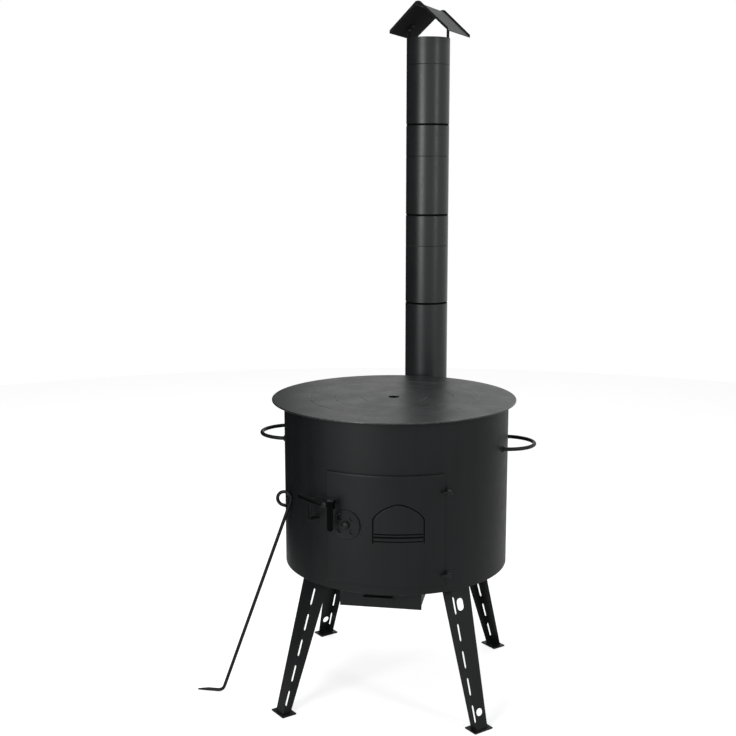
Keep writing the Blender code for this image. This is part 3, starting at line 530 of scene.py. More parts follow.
def dress(node, bevel=BEVEL, look=None, pick=None):
    """A finer copy of a CAD node: its flat faces joined, its edges rounded and rubbed."""
    bm = bmesh.new()
    bm.from_mesh(NODES[node].data)
    bmesh.ops.remove_doubles(bm, verts=bm.verts, dist=1e-6)
    bmesh.ops.dissolve_limit(bm, angle_limit=math.radians(0.5), verts=bm.verts, edges=bm.edges)
    for face in bm.faces:
        face.material_index = pick(face) if pick else 0
    return finish_piece(node + "_fine", bm, node, (node,), bevel=bevel, look=look)


def skin(bm, rings, closed=False, marks=(), shaded=()):
    """Skins rings of points; marks names the bands that take the edge material, shaded those that take the
    third one, painted shade.
    """
    rows = [[bm.verts.new(p) for p in ring] for ring in rings]
    pairs = list(zip(rows, rows[1:]))
    if closed:
        pairs.append((rows[-1], rows[0]))
    count = len(rows[0])
    for low, high in pairs:
        for i in range(count):
            face = bm.faces.new((low[i], low[(i + 1) % count], high[(i + 1) % count], high[i]))
            face.material_index = 1 if i in marks else 2 if i in shaded else 0
    if not closed:
        bm.faces.new(rows[0][::-1])
        bm.faces.new(rows[-1])
    return bm


def circle(radius, steps, centre=(0, 0)):
    """Points around a flat circle."""
    turns = [math.tau * i / steps for i in range(steps)]
    return [(centre[0] + radius * math.cos(a), centre[1] + radius * math.sin(a)) for a in turns]


def turn(bm, profile, centre, steps, marks=(), shaded=()):
    """Turns a closed (radius, height) profile about an upright axis."""
    rings = []
    for i in range(steps):
        a = math.tau * i / steps
        rings.append([(centre[0] + r * math.cos(a), centre[1] + r * math.sin(a), z) for r, z in profile])
    return skin(bm, rings, True, marks, shaded)


def flat_turn(levels, base, steps):
    """Closed round levels of (radius, height) in a frame, with flat ends."""
    rings = [[base @ Vector((x, y, z)) for x, y in circle(radius, steps)] for radius, z in levels]
    return skin(bmesh.new(), rings)


def prism(bm, base, outline, levels):
    """A flat outline in a frame, drawn from one level to the next."""
    return skin(bm, [[base @ Vector((x, y, z)) for x, y in outline] for z in levels])


def dome(radius, foot, rise, steps):
    """The (radius, height) points of a domed head, up to a small flat tip."""
    turns = [math.radians(90 / steps * i) for i in range(1, steps + 1)]
    return [(max(radius * math.cos(a), TIP_R), foot + rise * math.sin(a)) for a in turns]


def fillet(profile, sizes, steps=3):
    """Rounds a closed profile's corners by a radius each, and names the bands that are rounded."""
    points = []
    marks = []
    count = len(profile)
    for i, size in enumerate(sizes):
        here = Vector(profile[i])
        if not size:
            points.append(tuple(here))
            continue
        before = (Vector(profile[i - 1]) - here).normalized()
        after = (Vector(profile[(i + 1) % count]) - here).normalized()
        for k in range(steps + 1):
            t = k / steps
            p = here + before * size * (1 - t) ** 2 + after * size * t ** 2
            if k:
                marks.append(len(points) - 1)
            points.append(tuple(p))
    return points, marks


def around(side, radius, z):
    """A point at an angle from -Y towards +X about the barrel."""
    return Vector((AXIS.x + radius * math.sin(side), AXIS.y - radius * math.cos(side), z))


def facing(side, z):
    """A frame on the barrel's axis: X along the wall to the right, Y up, Z outwards."""
    made = Matrix.Identity(4)
    made.col[0][:3] = (math.cos(side), math.sin(side), 0)
    made.col[1][:3] = UP
    made.col[2][:3] = (math.sin(side), -math.cos(side), 0)
    made.col[3][:3] = AXIS + UP * z
    return made


def upright(side, radius, z, turned):
    """A frame whose X points outwards from the barrel, turned about an upright axis."""
    spin = Matrix.Rotation(side - math.pi / 2 + turned, 4, "Z")
    return Matrix.Translation(around(side, radius, z)) @ spin


def tube(bm, points, radius, sides, widths=None):
    """A round bar along points, with rounded ends that stop at the first and the last point."""
    points = [Vector(p) for p in points]
    way = (points[1] - points[0]).normalized()
    across = way.orthogonal().normalized()
    rings = []
    last = len(points) - 1
    for i, p in enumerate(points):
        way = (points[min(i + 1, last)] - points[max(i - 1, 0)]).normalized()
        across = (across - way * across.dot(way)).normalized()
        other = way.cross(across)
        size = radius * (widths[i] if widths else 1.0)
        stations = [(p, size)]
        if i in (0, last):
            inner = points[1] if i == 0 else points[last - 1]
            back = (inner - p).normalized() * min(size * 0.45, (inner - p).length * 0.6)
            stations = [(p, size * 0.55), (p + back * 0.4, size * 0.85), (p + back, size)]
        if i == last:
            stations.reverse()
        for at, r in stations:
            rings.append([at + (across * math.cos(a) + other * math.sin(a)) * r
                          for a in (math.tau * k / sides for k in range(sides))])
    return skin(bm, rings)


def bead_path(bm, points, size):
    """A weld bead along points: a low ridge with the ripples of the pool."""
    run = 0.0
    widths = []
    for i, p in enumerate(points):
        if i:
            run += (Vector(p) - Vector(points[i - 1])).length
        widths.append(1 + RIPPLE * math.sin(math.tau * run / RIPPLE_PITCH))
    return tube(bm, points, size, BEAD_SIDES, widths)


def applied(bm, cutters):
    """The mesh with the cutters taken out of it."""
    mesh = bpy.data.meshes.new("work")
    bm.to_mesh(mesh)
    bm.free()
    work = placed(bpy.data.objects.new("work", mesh))
    tools = []
    for cutter in cutters:
        bmesh.ops.recalc_face_normals(cutter, faces=cutter.faces)
        shape = bpy.data.meshes.new("tool")
        cutter.to_mesh(shape)
        cutter.free()
        tools.append(placed(bpy.data.objects.new("tool", shape)))
        step = work.modifiers.new("cut", "BOOLEAN")
        step.operation = "DIFFERENCE"
        step.solver = "EXACT"
        step.object = tools[-1]
    seen = work.evaluated_get(bpy.context.evaluated_depsgraph_get())
    result = bmesh.new()
    result.from_mesh(seen.to_mesh())
    seen.to_mesh_clear()
    for made in [work] + tools:
        shape = made.data
        bpy.data.objects.remove(made)
        bpy.data.meshes.remove(shape)
    return result


def round_normals(piece):
    """Gives the round walls of a piece their true normals, whatever its facets are cut into."""
    mesh = piece.data
    normals = []
    for corner, normal in zip(mesh.loops, mesh.corner_normals):
        face_normal = Vector(normal.vector)
        spot = mesh.vertices[corner.vertex_index].co
        radial = Vector((spot.x - AXIS[0], spot.y - AXIS[1], 0)).normalized()
        along = face_normal.dot(radial)
        normals.append(radial * (1 if along > 0 else -1) if abs(along) > ROUND_WALL else face_normal)
    mesh.normals_split_custom_set(normals)


def round_wall(bm, left, right, inner, outer, low, high, steps):
    """A piece of the barrel's wall between two angles."""
    section = ((inner, low), (outer, low), (outer, high), (inner, high))
    sides = [left + (right - left) * i / steps for i in range(steps + 1)]
    return skin(bm, [[around(side, r, z) for r, z in section] for side in sides])


def make_shell():
    """The barrel's wall, with its openings for the door and the flue."""
    low, high = SHELL_LOW.z, SHELL_HIGH.z
    inner = SHELL_R - SHEET
    section = ((inner, low), (SHELL_R, low), (SHELL_R, high), (inner, high))
    profile, marks = fillet(section, (FINE, FINE, FINE, FINE))
    body = turn(bmesh.new(), profile, AXIS, SHELL_STEPS, marks)
    bmesh.ops.recalc_face_normals(body, faces=body.faces)
    lap = DOOR_LAP / SHELL_R
    opening = round_wall(bmesh.new(), DOOR_LEFT + lap, DOOR_RIGHT - lap, SHELL_R - 2 * SHEET,
                         SHELL_R + SHEET, DOOR_BOTTOM + DOOR_LAP, DOOR_TOP - DOOR_LAP, OPENING_STEPS)
    back = facing(math.pi - FLUE_SIDE, STUB_Z)
    flue = prism(bmesh.new(), back, circle(FLUE_R, FLUE_STEPS), (SHELL_R - CUT_IN, SHELL_R + CUT_OUT))
    piece = finish_piece("firebox_shell_fine", applied(body, (opening, flue)), "firebox_shell",
                         ("firebox_shell",), weigh=False)
    round_normals(piece)


def make_shell_seam():
    """The weld that closes the barrel's sheet, down its back."""
    foot = SHELL_LOW.z + SEAM_MARGIN
    rise = SHELL_HIGH.z - SHELL_LOW.z - 2 * SEAM_MARGIN
    points = [around(SEAM_SIDE, SHELL_R + SEAM_OFF, foot + rise * i / SEAM_STEPS)
              for i in range(SEAM_STEPS + 1)]
    finish_piece("shell_seam", bead_path(bmesh.new(), points, SEAM_BEAD), "firebox_shell", weigh=False)


def arch_distance(s, z, half):
    """How far a point of the door is from the arch's outline."""
    if z < ARCH_SPRING:
        across = half - abs(s)
        if z < ARCH_BOTTOM:
            return math.hypot(across, ARCH_BOTTOM - z)
        return abs(across)
    rise = ARCH_TOP - ARCH_SPRING
    flat = abs(s) / half
    up = (z - ARCH_SPRING) / rise
    level = (flat ** ARCH_POWER + up ** ARCH_POWER) ** (1 / ARCH_POWER)
    if level < 1e-6:
        return rise
    flat_slope = (flat / level) ** (ARCH_POWER - 1) / half
    up_slope = (up / level) ** (ARCH_POWER - 1) / rise
    return abs(level - 1) / math.hypot(flat_slope, up_slope)


def door_height(s_arch, z, half):
    """How deep the door's face is pressed at a point: the arch's outline and the bars in its foot."""
    deep = 0.0
    d = arch_distance(s_arch, z, half)
    if d < GROOVE / 2:
        deep = math.cos(math.pi * d / GROOVE) ** GROOVE_FULL
    if abs(s_arch) < half - GROOVE * 0.9:
        for middle, width in BARS:
            d = abs(z - middle)
            if d < width / 2:
                deep = max(deep, math.cos(math.pi * d / width) ** GROOVE_FULL)
    return deep * GROOVE_DEEP


def vents(start):
    """The middles of the vents about the disc's pin, the first of them start vents on from the right."""
    turns = [math.tau * (i + start) / VENTS for i in range(VENTS)]
    return [(VENT_AT * math.cos(a), VENT_AT * math.sin(a)) for a in turns]


def steps_between(low, high, coarse, fine, zones):
    """Stations from low to high, close together within the zones."""
    at = low
    stations = [low]
    while at < high - 1e-9:
        step = fine if any(a <= at < b for a, b in zones) else coarse
        for a, b in zones:
            if at < a < at + step:
                step = a - at
        at = min(high, at + max(step, fine / 2))
        stations.append(at)
    return stations


def door_cutters():
    """The cutters of the door's two pin holes and of its draught vents."""
    holes = [(DISC_SIDE, DISC_Z, (0, 0), PIN_HOLE), (PIVOT_SIDE, PIVOT_Z, (0, 0), PIVOT_HOLE)]
    holes += [(DISC_SIDE, DISC_Z, spot, VENT_R) for spot in vents(1.0)]
    cutters = []
    for side, z, spot, radius in holes:
        ring = circle(radius, HOLE_STEPS, spot)
        levels = (SHELL_R - HOLE_PAST, DOOR_R + HOLE_PAST)
        cutters.append(prism(bmesh.new(), facing(side, z), ring, levels))
    return cutters


def make_door():
    """The door's skin, pressed with the arch and its bars, folded back at its rim."""
    middle = (ARCH_LEFT + ARCH_RIGHT) / 2
    half = (ARCH_RIGHT - ARCH_LEFT) * DOOR_R / 2 - GROOVE / 2
    edge = FINE / DOOR_R
    margin = 2.2 * GROOVE / DOOR_R
    side_zones = ((ARCH_LEFT - edge, ARCH_LEFT + margin), (ARCH_RIGHT - margin, ARCH_RIGHT + edge))
    sides = steps_between(DOOR_LEFT + edge, DOOR_RIGHT - edge, *SIDE_STEPS, side_zones)
    levels = steps_between(DOOR_BOTTOM + FINE, DOOR_TOP - FINE, *LEVEL_STEPS, (BAR_ZONE, ARCH_ZONE))
    columns, rows = len(sides), len(levels)
    border = [(0, j) for j in range(rows)]
    border += [(i, rows - 1) for i in range(1, columns)]
    border += [(columns - 1, j) for j in range(rows - 2, -1, -1)]
    border += [(i, 0) for i in range(columns - 2, 0, -1)]
    bm = bmesh.new()

    def grid(spot, flip):
        made = [[bm.verts.new(spot(i, j)) for j in range(rows)] for i in range(columns)]
        for i in range(columns - 1):
            for j in range(rows - 1):
                quad = (made[i][j], made[i + 1][j], made[i + 1][j + 1], made[i][j + 1])
                bm.faces.new(quad[::-1] if flip else quad)
        return [made[i][j] for i, j in border]

    def front(i, j):
        deep = door_height((sides[i] - middle) * DOOR_R, levels[j], half)
        return around(sides[i], DOOR_R - deep, levels[j])

    def back(i, j, radius=DOOR_R - DOOR_SHEET):
        t = (sides[i] - sides[0]) / (sides[-1] - sides[0])
        u = (levels[j] - levels[0]) / (levels[-1] - levels[0])
        rim = DOOR_RIM / DOOR_R
        return around(DOOR_LEFT + rim + (DOOR_RIGHT - DOOR_LEFT - 2 * rim) * t, radius,
                      DOOR_BOTTOM + DOOR_RIM + (DOOR_TOP - DOOR_BOTTOM - 2 * DOOR_RIM) * u)

    def rim_ring(out, radius):
        ring = []
        for i, j in border:
            across = (i == columns - 1) - (i == 0)
            up = (j == rows - 1) - (j == 0)
            spot = around(sides[i] + across * edge * out, radius, levels[j] + up * FINE * out)
            ring.append(bm.verts.new(spot))
        return ring

    face_grid = grid(front, False)
    # Faces pressed into the arch's groove and the bars take the third material, painted shade
    for face in bm.faces:
        centre = face.calc_center_median() - AXIS
        if DOOR_R - math.hypot(centre.x, centre.y) > GROOVE_DEEP * 0.35:
            face.material_index = 2
    rings = [face_grid, rim_ring(0.7, DOOR_R - FINE * 0.3), rim_ring(1.0, DOOR_R - FINE),
             rim_ring(1.0, SHELL_R + GAP), [bm.verts.new(back(i, j, SHELL_R + GAP)) for i, j in border],
             grid(back, True)]
    for a, b in zip(rings, rings[1:]):
        for i in range(len(a)):
            j = (i + 1) % len(a)
            bm.faces.new((a[i], a[j], b[j], b[i]))
    bmesh.ops.recalc_face_normals(bm, faces=bm.faces)
    piece = finish_piece("door_fine", applied(bm, door_cutters()), "door", ("door",), 40, weigh=False)
    round_normals(piece)


def make_door_lugs():
    """The door's two lugs, each an eye on a flat tongue."""
    turns = [math.radians(-90 + 7.5 * i) for i in range(25)]
    outline = [(-HINGE_SIDE - LUG_REACH, -LUG_R)]
    outline += [(LUG_R * math.cos(a), LUG_R * math.sin(a)) for a in turns]
    outline.append((-HINGE_SIDE - LUG_REACH, LUG_R))
    lugs = bmesh.new()
    for z in HINGE_ZS:
        base = upright(LUG_AT, DOOR_R + HINGE_OUT, z + GAP / 2, math.pi / 2)
        prism(lugs, base, outline, (0.0, LUG_T))
    finish_piece("door_lugs", lugs, "door", bevel=BEVEL)


def make_damper_disc():
    """The dished disc, with its vents and its thumb tab."""
    base = facing(DISC_SIDE, DISC_Z)
    near, far = DISC_NEAR, DISC_FAR
    levels = [(DISC_R - DISC_FOOT, near), (DISC_R, near + DISC_FOOT), (DISC_R, far - DISC_ROUND),
              (DISC_R - DISC_ROUND, far), (DISC_R - RIM_W, far + DISC_CREST), (DISH_FROM, far - DISC_ROUND),
              (DISH_TO, far - DISC_ROUND), (HUB_R, far + DISC_CREST)]
    disc = flat_turn(levels, base, DISC_STEPS)
    bmesh.ops.recalc_face_normals(disc, faces=disc.faces)
    cutters = []
    for (x, y), radius in [((0, 0), PIN_HOLE)] + [(spot, VENT_R) for spot in vents(0.5)]:
        spot = base @ Matrix.Translation((x, y, 0))
        cutters.append(flat_turn(((radius, near - SHEET), (radius, far + SHEET)), spot, HOLE_STEPS))
    cut = applied(disc, cutters)
    thumb = base @ Matrix.Rotation(THUMB_TURN, 4, "Z")
    half = THUMB_HALF
    foot = far - THUMB_ROOT
    rings = []
    for x, up in zip((THUMB_IN, THUMB_IN + THUMB_T), THUMB_UP):
        top = far + up
        section = ((-half, foot), (half, foot), (half, top - THUMB_CUT), (half - THUMB_CUT, top),
                   (THUMB_CUT - half, top), (-half, top - THUMB_CUT))
        rings.append([thumb @ Vector((x, y, z)) for y, z in section])
    skin(cut, rings)
    finish_piece("damper_disc_fine", cut, "damper_disc", ("damper_disc",), bevel=THIN_BEVEL)


def make_damper_knob():
    """The disc's knob, its pin through the door and the washer behind."""
    outer = DISC_FAR + GAP
    inner = DOOR_R - DOOR_SHEET - GAP
    levels = [(KNOB_R, inner - SHEET), (KNOB_R, inner - SHEET / 2), (PIN_R, inner - SHEET / 2),
              (PIN_R, outer), (KNOB_R - FINE, outer), (KNOB_R, outer + FINE), (KNOB_R, outer + KNOB_WALL)]
    levels += dome(KNOB_R, outer + KNOB_WALL, KNOB_DOME, 6)
    knob = flat_turn(levels, facing(DISC_SIDE, DISC_Z), HEAD_STEPS)
    finish_piece("damper_knob_fine", knob, "damper_knob", ("damper_knob",), 35, weigh=False)


def make_latch_pivot():
    """The latch's rivet: its tail, its spacer and its domed head."""
    near = DOOR_R + GAP
    inner = DOOR_R - DOOR_SHEET - GAP
    bar = BAR_OFF - GAP
    head = BAR_OFF + BAR_T + GAP
    levels = [(TAIL_R, SHELL_R + 2 * GAP), (TAIL_R, inner), (PIVOT_R, inner), (PIVOT_R, near),
              (SPACER_R - PIVOT_EDGE, near), (SPACER_R, near + PIVOT_EDGE), (SPACER_R, bar - PIVOT_EDGE),
              (SPACER_R - PIVOT_EDGE, bar), (PIVOT_R, bar), (PIVOT_R, head),
              (PIVOT_HEAD_R - PIVOT_HEAD_EDGE, head), (PIVOT_HEAD_R, head + PIVOT_HEAD_EDGE),
              (PIVOT_HEAD_R, head + PIVOT_HEAD_WALL)]
    levels += dome(PIVOT_HEAD_R, head + PIVOT_HEAD_WALL, PIVOT_DOME, 5)
    pivot = flat_turn(levels, facing(PIVOT_SIDE, PIVOT_Z), HEAD_STEPS)
    finish_piece("latch_pivot_fine", pivot, "latch_pivot", ("latch_pivot",), 35, weigh=False)


def ledge(radius, level):
    """Profile points of the ledge under a ring's inner edge, which carries the next ring."""
    return ((radius, level), (radius - LEDGE, level), (radius - LEDGE, level - LEDGE_T),
            (radius + LEDGE, level - LEDGE_T), (radius + LEDGE, level))


def make_hob_plate():
    """The hob's plate with its rounded rim, its ledge and the collar that centres it on the barrel."""
    top, under = HOB_TOP, HOB_UNDER
    inner = HOB_COLLAR_R - SHEET
    section = ((HOB_HOLE, top), *ledge(HOB_HOLE, under), (inner, under), (inner, under - HOB_COLLAR),
               (HOB_COLLAR_R, under - HOB_COLLAR), (HOB_COLLAR_R, under), (HOB_R, under), (HOB_R, top))
    profile, marks = fillet(section, (FINE, 0, 0, FINE, FINE, 0, 0, FINE, FINE, 0, *HOB_RIM))
    plate = turn(bmesh.new(), profile, HOB_MIDDLE, HOB_STEPS, marks)
    finish_piece("hob_plate_fine", plate, "hob_plate", ("hob_plate",), 50)


def make_rings_and_lid():
    """The hob's two rings and its lid, each seated on the ledge around it."""
    outer = HOB_HOLE
    base = HOB_UNDER + GAP
    for node, inner in (("ring_outer", RING_HOLE), ("ring_inner", LID_R)):
        edge = outer - HOB_FIT
        section = ((inner, HOB_TOP), *ledge(inner, base), (edge, base), (edge, HOB_TOP))
        profile, marks = fillet(section, (FINE, 0, 0, FINE, FINE, 0, FINE, FINE))
        ring = turn(bmesh.new(), profile, HOB_MIDDLE, RING_STEPS, marks)
        finish_piece(node + "_fine", ring, node, (node,), 50)
        outer = inner
        base += GAP
    edge = LID_R - HOB_FIT
    section = ((LIFT_R, HOB_TOP), (LIFT_R, base), (edge, base), (edge, HOB_TOP))
    profile, marks = fillet(section, (FINE, FINE, FINE, FINE))
    lid = turn(bmesh.new(), profile, HOB_MIDDLE, LID_STEPS, marks)
    finish_piece("centre_lid_fine", lid, "centre_lid", ("centre_lid",), 50)


def bend_out(gore):
    """The way from the bend's centre to the elbow's middle, at a joint between two gores."""
    a = math.radians(90 * gore / GORES)
    return FLUE_WAY * math.sin(a) - UP * math.cos(a)


def make_elbow():
    """The elbow behind the barrel: a stub, straight gores round the bend, and the socket."""
    stations = [(AXIS + FLUE_WAY * out + UP * STUB_Z, UP) for out in (STUB_FROM, STUB_TO)]
    for gore in range(GORES + 1):
        out = bend_out(gore)
        stations.append((BEND + out * BEND_R, -out))
    stations.append((AXIS + FLUE_WAY * FLUE_OUT + UP * SOCKET_TOP, -FLUE_WAY))
    rings = []
    for radius, order in ((FLUE_R, stations), (FLUE_R - FLUE_WALL, stations[::-1])):
        for centre, normal in order:
            rings.append([centre + FLUE_ACROSS * radius * math.cos(a) + normal * radius * math.sin(a)
                          for a in (math.tau * k / FLUE_STEPS for k in range(FLUE_STEPS))])
    elbow = skin(bmesh.new(), rings, True)
    finish_piece("flue_elbow_fine", elbow, "flue_elbow", ("flue_elbow",), 17, weigh=False)


def make_elbow_welds():
    """The weld where the elbow meets the barrel, and the seams between its gores."""
    turns = [math.tau * i / RING_BEAD_STEPS for i in range(RING_BEAD_STEPS + 1)]
    points = []
    for a in turns:
        x = ELBOW_BEAD_R * math.cos(a)
        out = math.sqrt(ELBOW_BEAD_OUT ** 2 - x * x)
        points.append(AXIS + FLUE_ACROSS * x + FLUE_WAY * out + UP * (STUB_Z + ELBOW_BEAD_R * math.sin(a)))
    finish_piece("elbow_weld", bead_path(bmesh.new(), points, ELBOW_BEAD), "flue_elbow", weigh=False)
    radius = FLUE_R + SEAM_OFF
    for gore in range(1, GORES):
        out = bend_out(gore)
        centre = BEND + out * BEND_R
        points = [centre + FLUE_ACROSS * radius * math.cos(a) - out * radius * math.sin(a) for a in turns]
        seam = bead_path(bmesh.new(), points, GORE_BEAD)
        finish_piece("elbow_seam_%d" % gore, seam, "flue_elbow", weigh=False)


def roll(radius, z):
    """A groove rolled into a pipe, as points down one side of its wall."""
    turns = [math.pi * i / 10 for i in range(11)]
    return [(radius - ROLL_DEEP * math.sin(a), z + ROLL_HALF * math.cos(a)) for a in turns]


def pipe_seam(bm, foot, mouth):
    """The lapped seam up a pipe's back."""
    low, high = foot + PIPE_SEAM_FOOT, mouth - PIPE_SEAM_TOP
    inner, outer = FLUE_R - PIPE_SEAM_SUNK, FLUE_R + PIPE_SEAM_PROUD
    section = ((inner, low), (outer, low), (outer, high), (inner, high))
    strip = PIPE_SEAM_HALF / FLUE_R
    rings = []
    for k in range(5):
        a = PIPE_SEAM_SIDE - strip + 2 * strip * k / 4
        rings.append([(FLUE_AT[0] + r * math.sin(a), FLUE_AT[1] - r * math.cos(a), z) for r, z in section])
    skin(bm, rings)


def make_pipes():
    """The three pipes, each with a neck that stands in the mouth below it."""
    seat = SOCKET_TOP
    inner = FLUE_R - FLUE_WALL
    for node, mouth in zip(("chimney_lower", "chimney_middle", "chimney_upper"), MOUTHS):
        foot = seat + GAP
        z = mouth - ROLL_DROP
        profile = [(FLUE_R - LIP / 2, mouth), (FLUE_R, mouth - LIP)] + roll(FLUE_R, z)
        foot_band = len(profile)
        profile += [(FLUE_R, foot + SHOULDER_UP), (FLUE_R - SHOULDER_IN, foot), (NECK_R, foot),
                    (NECK_R, foot - NECK + NECK_TAPER), (NECK_R - SHOULDER_IN, foot - NECK),
                    (NECK_R - FLUE_WALL - NECK_END, foot - NECK), (NECK_R - FLUE_WALL, foot + FLUE_WALL),
                    (inner, foot + FLUE_WALL)]
        profile += roll(inner, z)[::-1] + [(inner, mouth)]
        # The rolled groove's bands take the third material, painted shade
        bm = turn(bmesh.new(), profile, FLUE_AT, PIPE_STEPS, (0, foot_band), range(3, foot_band - 2))
        pipe_seam(bm, foot, mouth)
        finish_piece(node + "_fine", bm, node, (node,), 40, look="pipe")
        seat = mouth


def make_cap_collar():
    """The cap's collar, with a neck that stands in the upper pipe."""
    low = MOUTHS[-1] - COLLAR_DEPTH
    foot = MOUTHS[-1] + GAP
    inner = FLUE_R - FLUE_WALL
    neck_inner = NECK_R - FLUE_WALL
    section = ((NECK_R, low), (NECK_R, foot), (FLUE_R, foot), (FLUE_R, COLLAR_TOP), (inner, COLLAR_TOP),
               (inner, foot + FLUE_WALL), (neck_inner, foot + FLUE_WALL), (neck_inner, low))
    sizes = (NECK_END, 0, SHOULDER_IN, NECK_END, NECK_END, 0, 0, NECK_END)
    profile, marks = fillet(section, sizes)
    collar = turn(bmesh.new(), profile, FLUE_AT, PIPE_STEPS, marks)
    finish_piece("cap_collar_fine", collar, "cap_collar", ("cap_collar",), 40, look="pipe")


def make_handles():
    """The two bent handles, and the welds at their ends."""
    for node, sign, height, reach in HANDLES:
        start = math.sqrt(SHELL_R ** 2 - reach ** 2)
        points = []
        for i in range(BEND_STEPS + 1):
            a = math.pi * (i / BEND_STEPS - 0.5)
            x = start + (HANDLE_OUT - start) * math.cos(a)
            points.append(AXIS + Vector((sign * x, reach * math.sin(a), height)))
        handle = tube(bmesh.new(), points, ROD_R, ROD_SIDES)
        finish_piece(node + "_fine", handle, node, (node,), 50, weigh=False)
        welds = bmesh.new()
        for end in (-1, 1):
            ring = []
            for i in range(33):
                a = math.tau * i / 32
                y = end * reach + HANDLE_BEAD_R * math.cos(a)
                x = math.sqrt(HANDLE_BEAD_OUT ** 2 - y * y)
                ring.append(AXIS + Vector((sign * x, y, height + HANDLE_BEAD_R * math.sin(a))))
            bead_path(welds, ring, HANDLE_BEAD)
        finish_piece(node + "_welds", welds, node, weigh=False)


def make_poker():
    """The poker's bar: a tapering toe, a bend, a straight shaft and the eye bent at its top."""
    y = AXIS.y + POKER_Y
    reach = math.sqrt(SHELL_R ** 2 - POKER_Y ** 2) + EYE_CLEAR + POKER_R + EYE_R
    eye = (AXIS.x - reach, EYE_Z)
    bend = eye[0] - POKER_FOOT
    tip = bend - TOE_LONG
    dx, dz = eye[0] - bend, eye[1] - POKER_R
    lean = math.atan2(dz, dx) - math.asin(EYE_R / math.hypot(dx, dz))
    way = (math.cos(lean), math.sin(lean))
    points = [(tip + at, POKER_R * width) for at, width in TOE]
    widths = [width for at, width in TOE]
    for i in range(13):
        t = i / 12
        x = bend + POKER_TURN * (t ** 2 * way[0] - (1 - t) ** 2)
        points.append((x, POKER_R + POKER_TURN * t ** 2 * way[1]))
        widths.append(1.0)
    first = lean - math.pi / 2
    sweep = math.tau - math.acos(1 - (2 * POKER_R + GAP * 2) / EYE_R)
    for i in range(BEND_STEPS + 1):
        a = first + sweep * i / BEND_STEPS
        points.append((eye[0] + EYE_R * math.cos(a), eye[1] + EYE_R * math.sin(a)))
        widths.append(1.0)
    bm = tube(bmesh.new(), [(x, y, z) for x, z in points], POKER_R, POKER_SIDES, widths)
    last = points[-1]
    out, along = EYE_BEAD_SPREAD
    touch = [(last[0] + out * math.cos(a), y + along * math.sin(a), last[1] - EYE_BEAD_DROP)
             for a in (math.tau * i / 24 for i in range(25))]
    bead_path(bm, touch, EYE_BEAD)
    finish_piece("poker_fine", bm, "poker", ("poker",), 50, weigh=False)


def weld_line(name, side, reach, z, node):
    """A straight weld on the barrel's wall, reaching as far to both sides of an angle."""
    start, end = around(side - reach, WELD_OUT, z), around(side + reach, WELD_OUT, z)
    count = max(2, int((end - start).length / WELD_STEP))
    points = [start.lerp(end, i / count) for i in range(count + 1)]
    finish_piece(name, bead_path(bmesh.new(), points, WELD_BEAD), node, weigh=False)


def make_welds():
    """The welds at the catch and the hinges' brackets."""
    low, high = CATCH_FOOT - WELD_OFF, CATCH_FOOT + CATCH_T + WELD_OFF
    for name, z in (("catch_weld_low", low), ("catch_weld_high", high)):
        weld_line(name, CATCH_SIDE, CATCH_W / 2 / SHELL_R, z, "latch_catch")
    for z, node in zip(HINGE_ZS, ("hinge_lower", "hinge_upper")):
        weld_line(node + "_weld", LUG_AT, LUG_R / SHELL_R, z - LUG_T - GAP, node)


def dress_the_rest():
    """Finer copies of the nodes that keep their modelled shape."""
    for node in ("floor_pan", "grate", "ash_box", "ash_drawer", "drawer_pull"):
        dress(node)
    # The hinges' upward faces take the edge paint: wear and a painted highlight
    for node in ("hinge_lower", "hinge_upper"):
        dress(node, pick=rubbed)
    # The latch takes painted shade: darker paint all over, darkest on the grip's outer face, with wear and
    # a painted highlight on its upward faces
    dress("latch", look="latch", pick=grip_lit_and_shaded)
    dress("latch_catch", look="latch")
    # The cap's roof and struts take painted shade on every face that doesn't look upward
    for node in ("cap_roof", "cap_strut_left", "cap_strut_right"):
        dress(node, look="cap", pick=painted_shade_below)
    for node in sorted(NODES):
        if node.split("_")[0] in ("leg", "foot", "bolt", "nut"):
            dress(node, LEG_BEVEL)


def make_camera():
    """The camera, aimed along its way and rolled about it."""
    data = bpy.data.cameras.new("camera")
    data.lens = LENS
    data.sensor_width = SENSOR
    data.clip_end = 100
    camera = placed(bpy.data.objects.new("camera", data))
    forward = CAMERA_WAY.normalized()
    right = forward.cross(UP).normalized()
    up = right.cross(forward)
    matrix = Matrix.Identity(4)
    matrix.col[0][:3] = right * math.cos(CAMERA_ROLL) + up * math.sin(CAMERA_ROLL)
    matrix.col[1][:3] = up * math.cos(CAMERA_ROLL) - right * math.sin(CAMERA_ROLL)
    matrix.col[2][:3] = -forward
    matrix.col[3][:3] = CAMERA_AT + AXIS
    camera.matrix_world = matrix
    bpy.context.scene.camera = camera


def glow(tree, seen, mirrored, falling):
    """The glow that the camera or glass sees, that a mirror shows, and that falls on things."""
    path = tree.nodes.new("ShaderNodeLightPath")
    result = None
    shares = (("Is Camera Ray", seen), ("Is Glossy Ray", mirrored), ("Is Transmission Ray", seen))
    for name, strength in shares:
        node = tree.nodes.new("ShaderNodeMapRange")
        node.inputs["To Min"].default_value = falling
        node.inputs["To Max"].default_value = strength
        tree.links.new(path.outputs[name], node.inputs["Value"])
        if result:
            larger = tree.nodes.new("ShaderNodeMath")
            larger.operation = "MAXIMUM"
            tree.links.new(result, larger.inputs[0])
            tree.links.new(node.outputs["Result"], larger.inputs[1])
            result = larger.outputs[0]
        else:
            result = node.outputs["Result"]
    return result


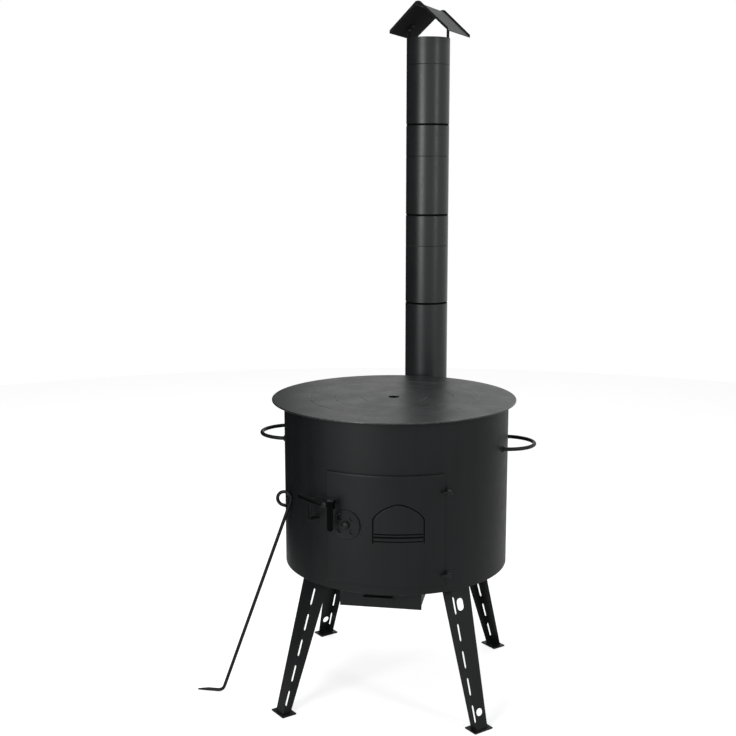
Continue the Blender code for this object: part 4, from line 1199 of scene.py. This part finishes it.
def make_world():
    """A white studio, dimmer for the light that falls on things."""
    world = bpy.data.worlds.new("studio")
    bpy.context.scene.world = world
    world.use_nodes = True
    tree = world.node_tree
    back = tree.nodes["Background"]
    back.inputs["Color"].default_value = (1.0, 1.0, 1.0, 1.0)
    tree.links.new(glow(tree, 1.0, 1.0, AMBIENT), back.inputs["Strength"])


def stage_piece(name, bm, tone, rough):
    """A piece of the stage, matt all over."""
    mesh = bpy.data.meshes.new(name)
    bm.to_mesh(mesh)
    bm.free()
    matt = bpy.data.materials.new(name + "_matt")
    matt.use_nodes = True
    surface = matt.node_tree.nodes["Principled BSDF"]
    surface.inputs["Base Color"].default_value = (tone, tone, tone, 1)
    surface.inputs["Roughness"].default_value = rough
    surface.inputs["Specular IOR Level"].default_value = 0.0
    mesh.materials.append(matt)
    piece = placed(bpy.data.objects.new(name, mesh))
    return piece


def make_floor():
    """A white floor that keeps the shadow."""
    bm = bmesh.new()
    bmesh.ops.create_circle(bm, cap_ends=True, segments=96, radius=FLOOR_R)
    floor = stage_piece("floor", bm, FLOOR_TONE, FLOOR_ROUGH)
    floor.location = (AXIS.x, AXIS.y, -FLOOR_DROP)
    tree = floor.data.materials[0].node_tree
    surface = tree.nodes["Principled BSDF"]
    surface.inputs["Emission Color"].default_value = (1, 1, 1, 1)
    tree.links.new(glow(tree, FLOOR_GLOW, FLOOR_SHEEN, 0.0), surface.inputs["Emission Strength"])


def make_card():
    """A matt black studio card at the left, which only reflections show."""
    bm = bmesh.new()
    bm.faces.new([bm.verts.new(AXIS + Vector(p)) for p in CARD])
    card = stage_piece("left_card", bm, CARD_TONE, 1.0)
    card.visible_camera = False
    card.visible_diffuse = False
    card.visible_shadow = False
    card.visible_transmission = False


def make_lamps():
    """The area lamps, each aimed at a height on the barrel's axis."""
    for name, spot, target, size, power in LAMPS:
        data = bpy.data.lights.new(name, "AREA")
        data.shape = "RECTANGLE"
        data.size, data.size_y = size
        data.energy = power
        lamp = placed(bpy.data.objects.new(name, data))
        lamp.location = Vector(spot) + AXIS
        lamp.rotation_euler = (Vector(target) - Vector(spot)).to_track_quat("-Z", "Y").to_euler()


def main():
    """Makes the stage, then every piece."""
    bpy.context.scene.view_settings.view_transform = "Standard"
    make_camera()
    make_world()
    make_floor()
    make_lamps()
    make_card()
    make_shell()
    make_shell_seam()
    make_door()
    make_door_lugs()
    make_damper_disc()
    make_damper_knob()
    make_latch_pivot()
    make_hob_plate()
    make_rings_and_lid()
    make_elbow()
    make_elbow_welds()
    make_pipes()
    make_cap_collar()
    make_handles()
    make_poker()
    make_welds()
    dress_the_rest()


main()
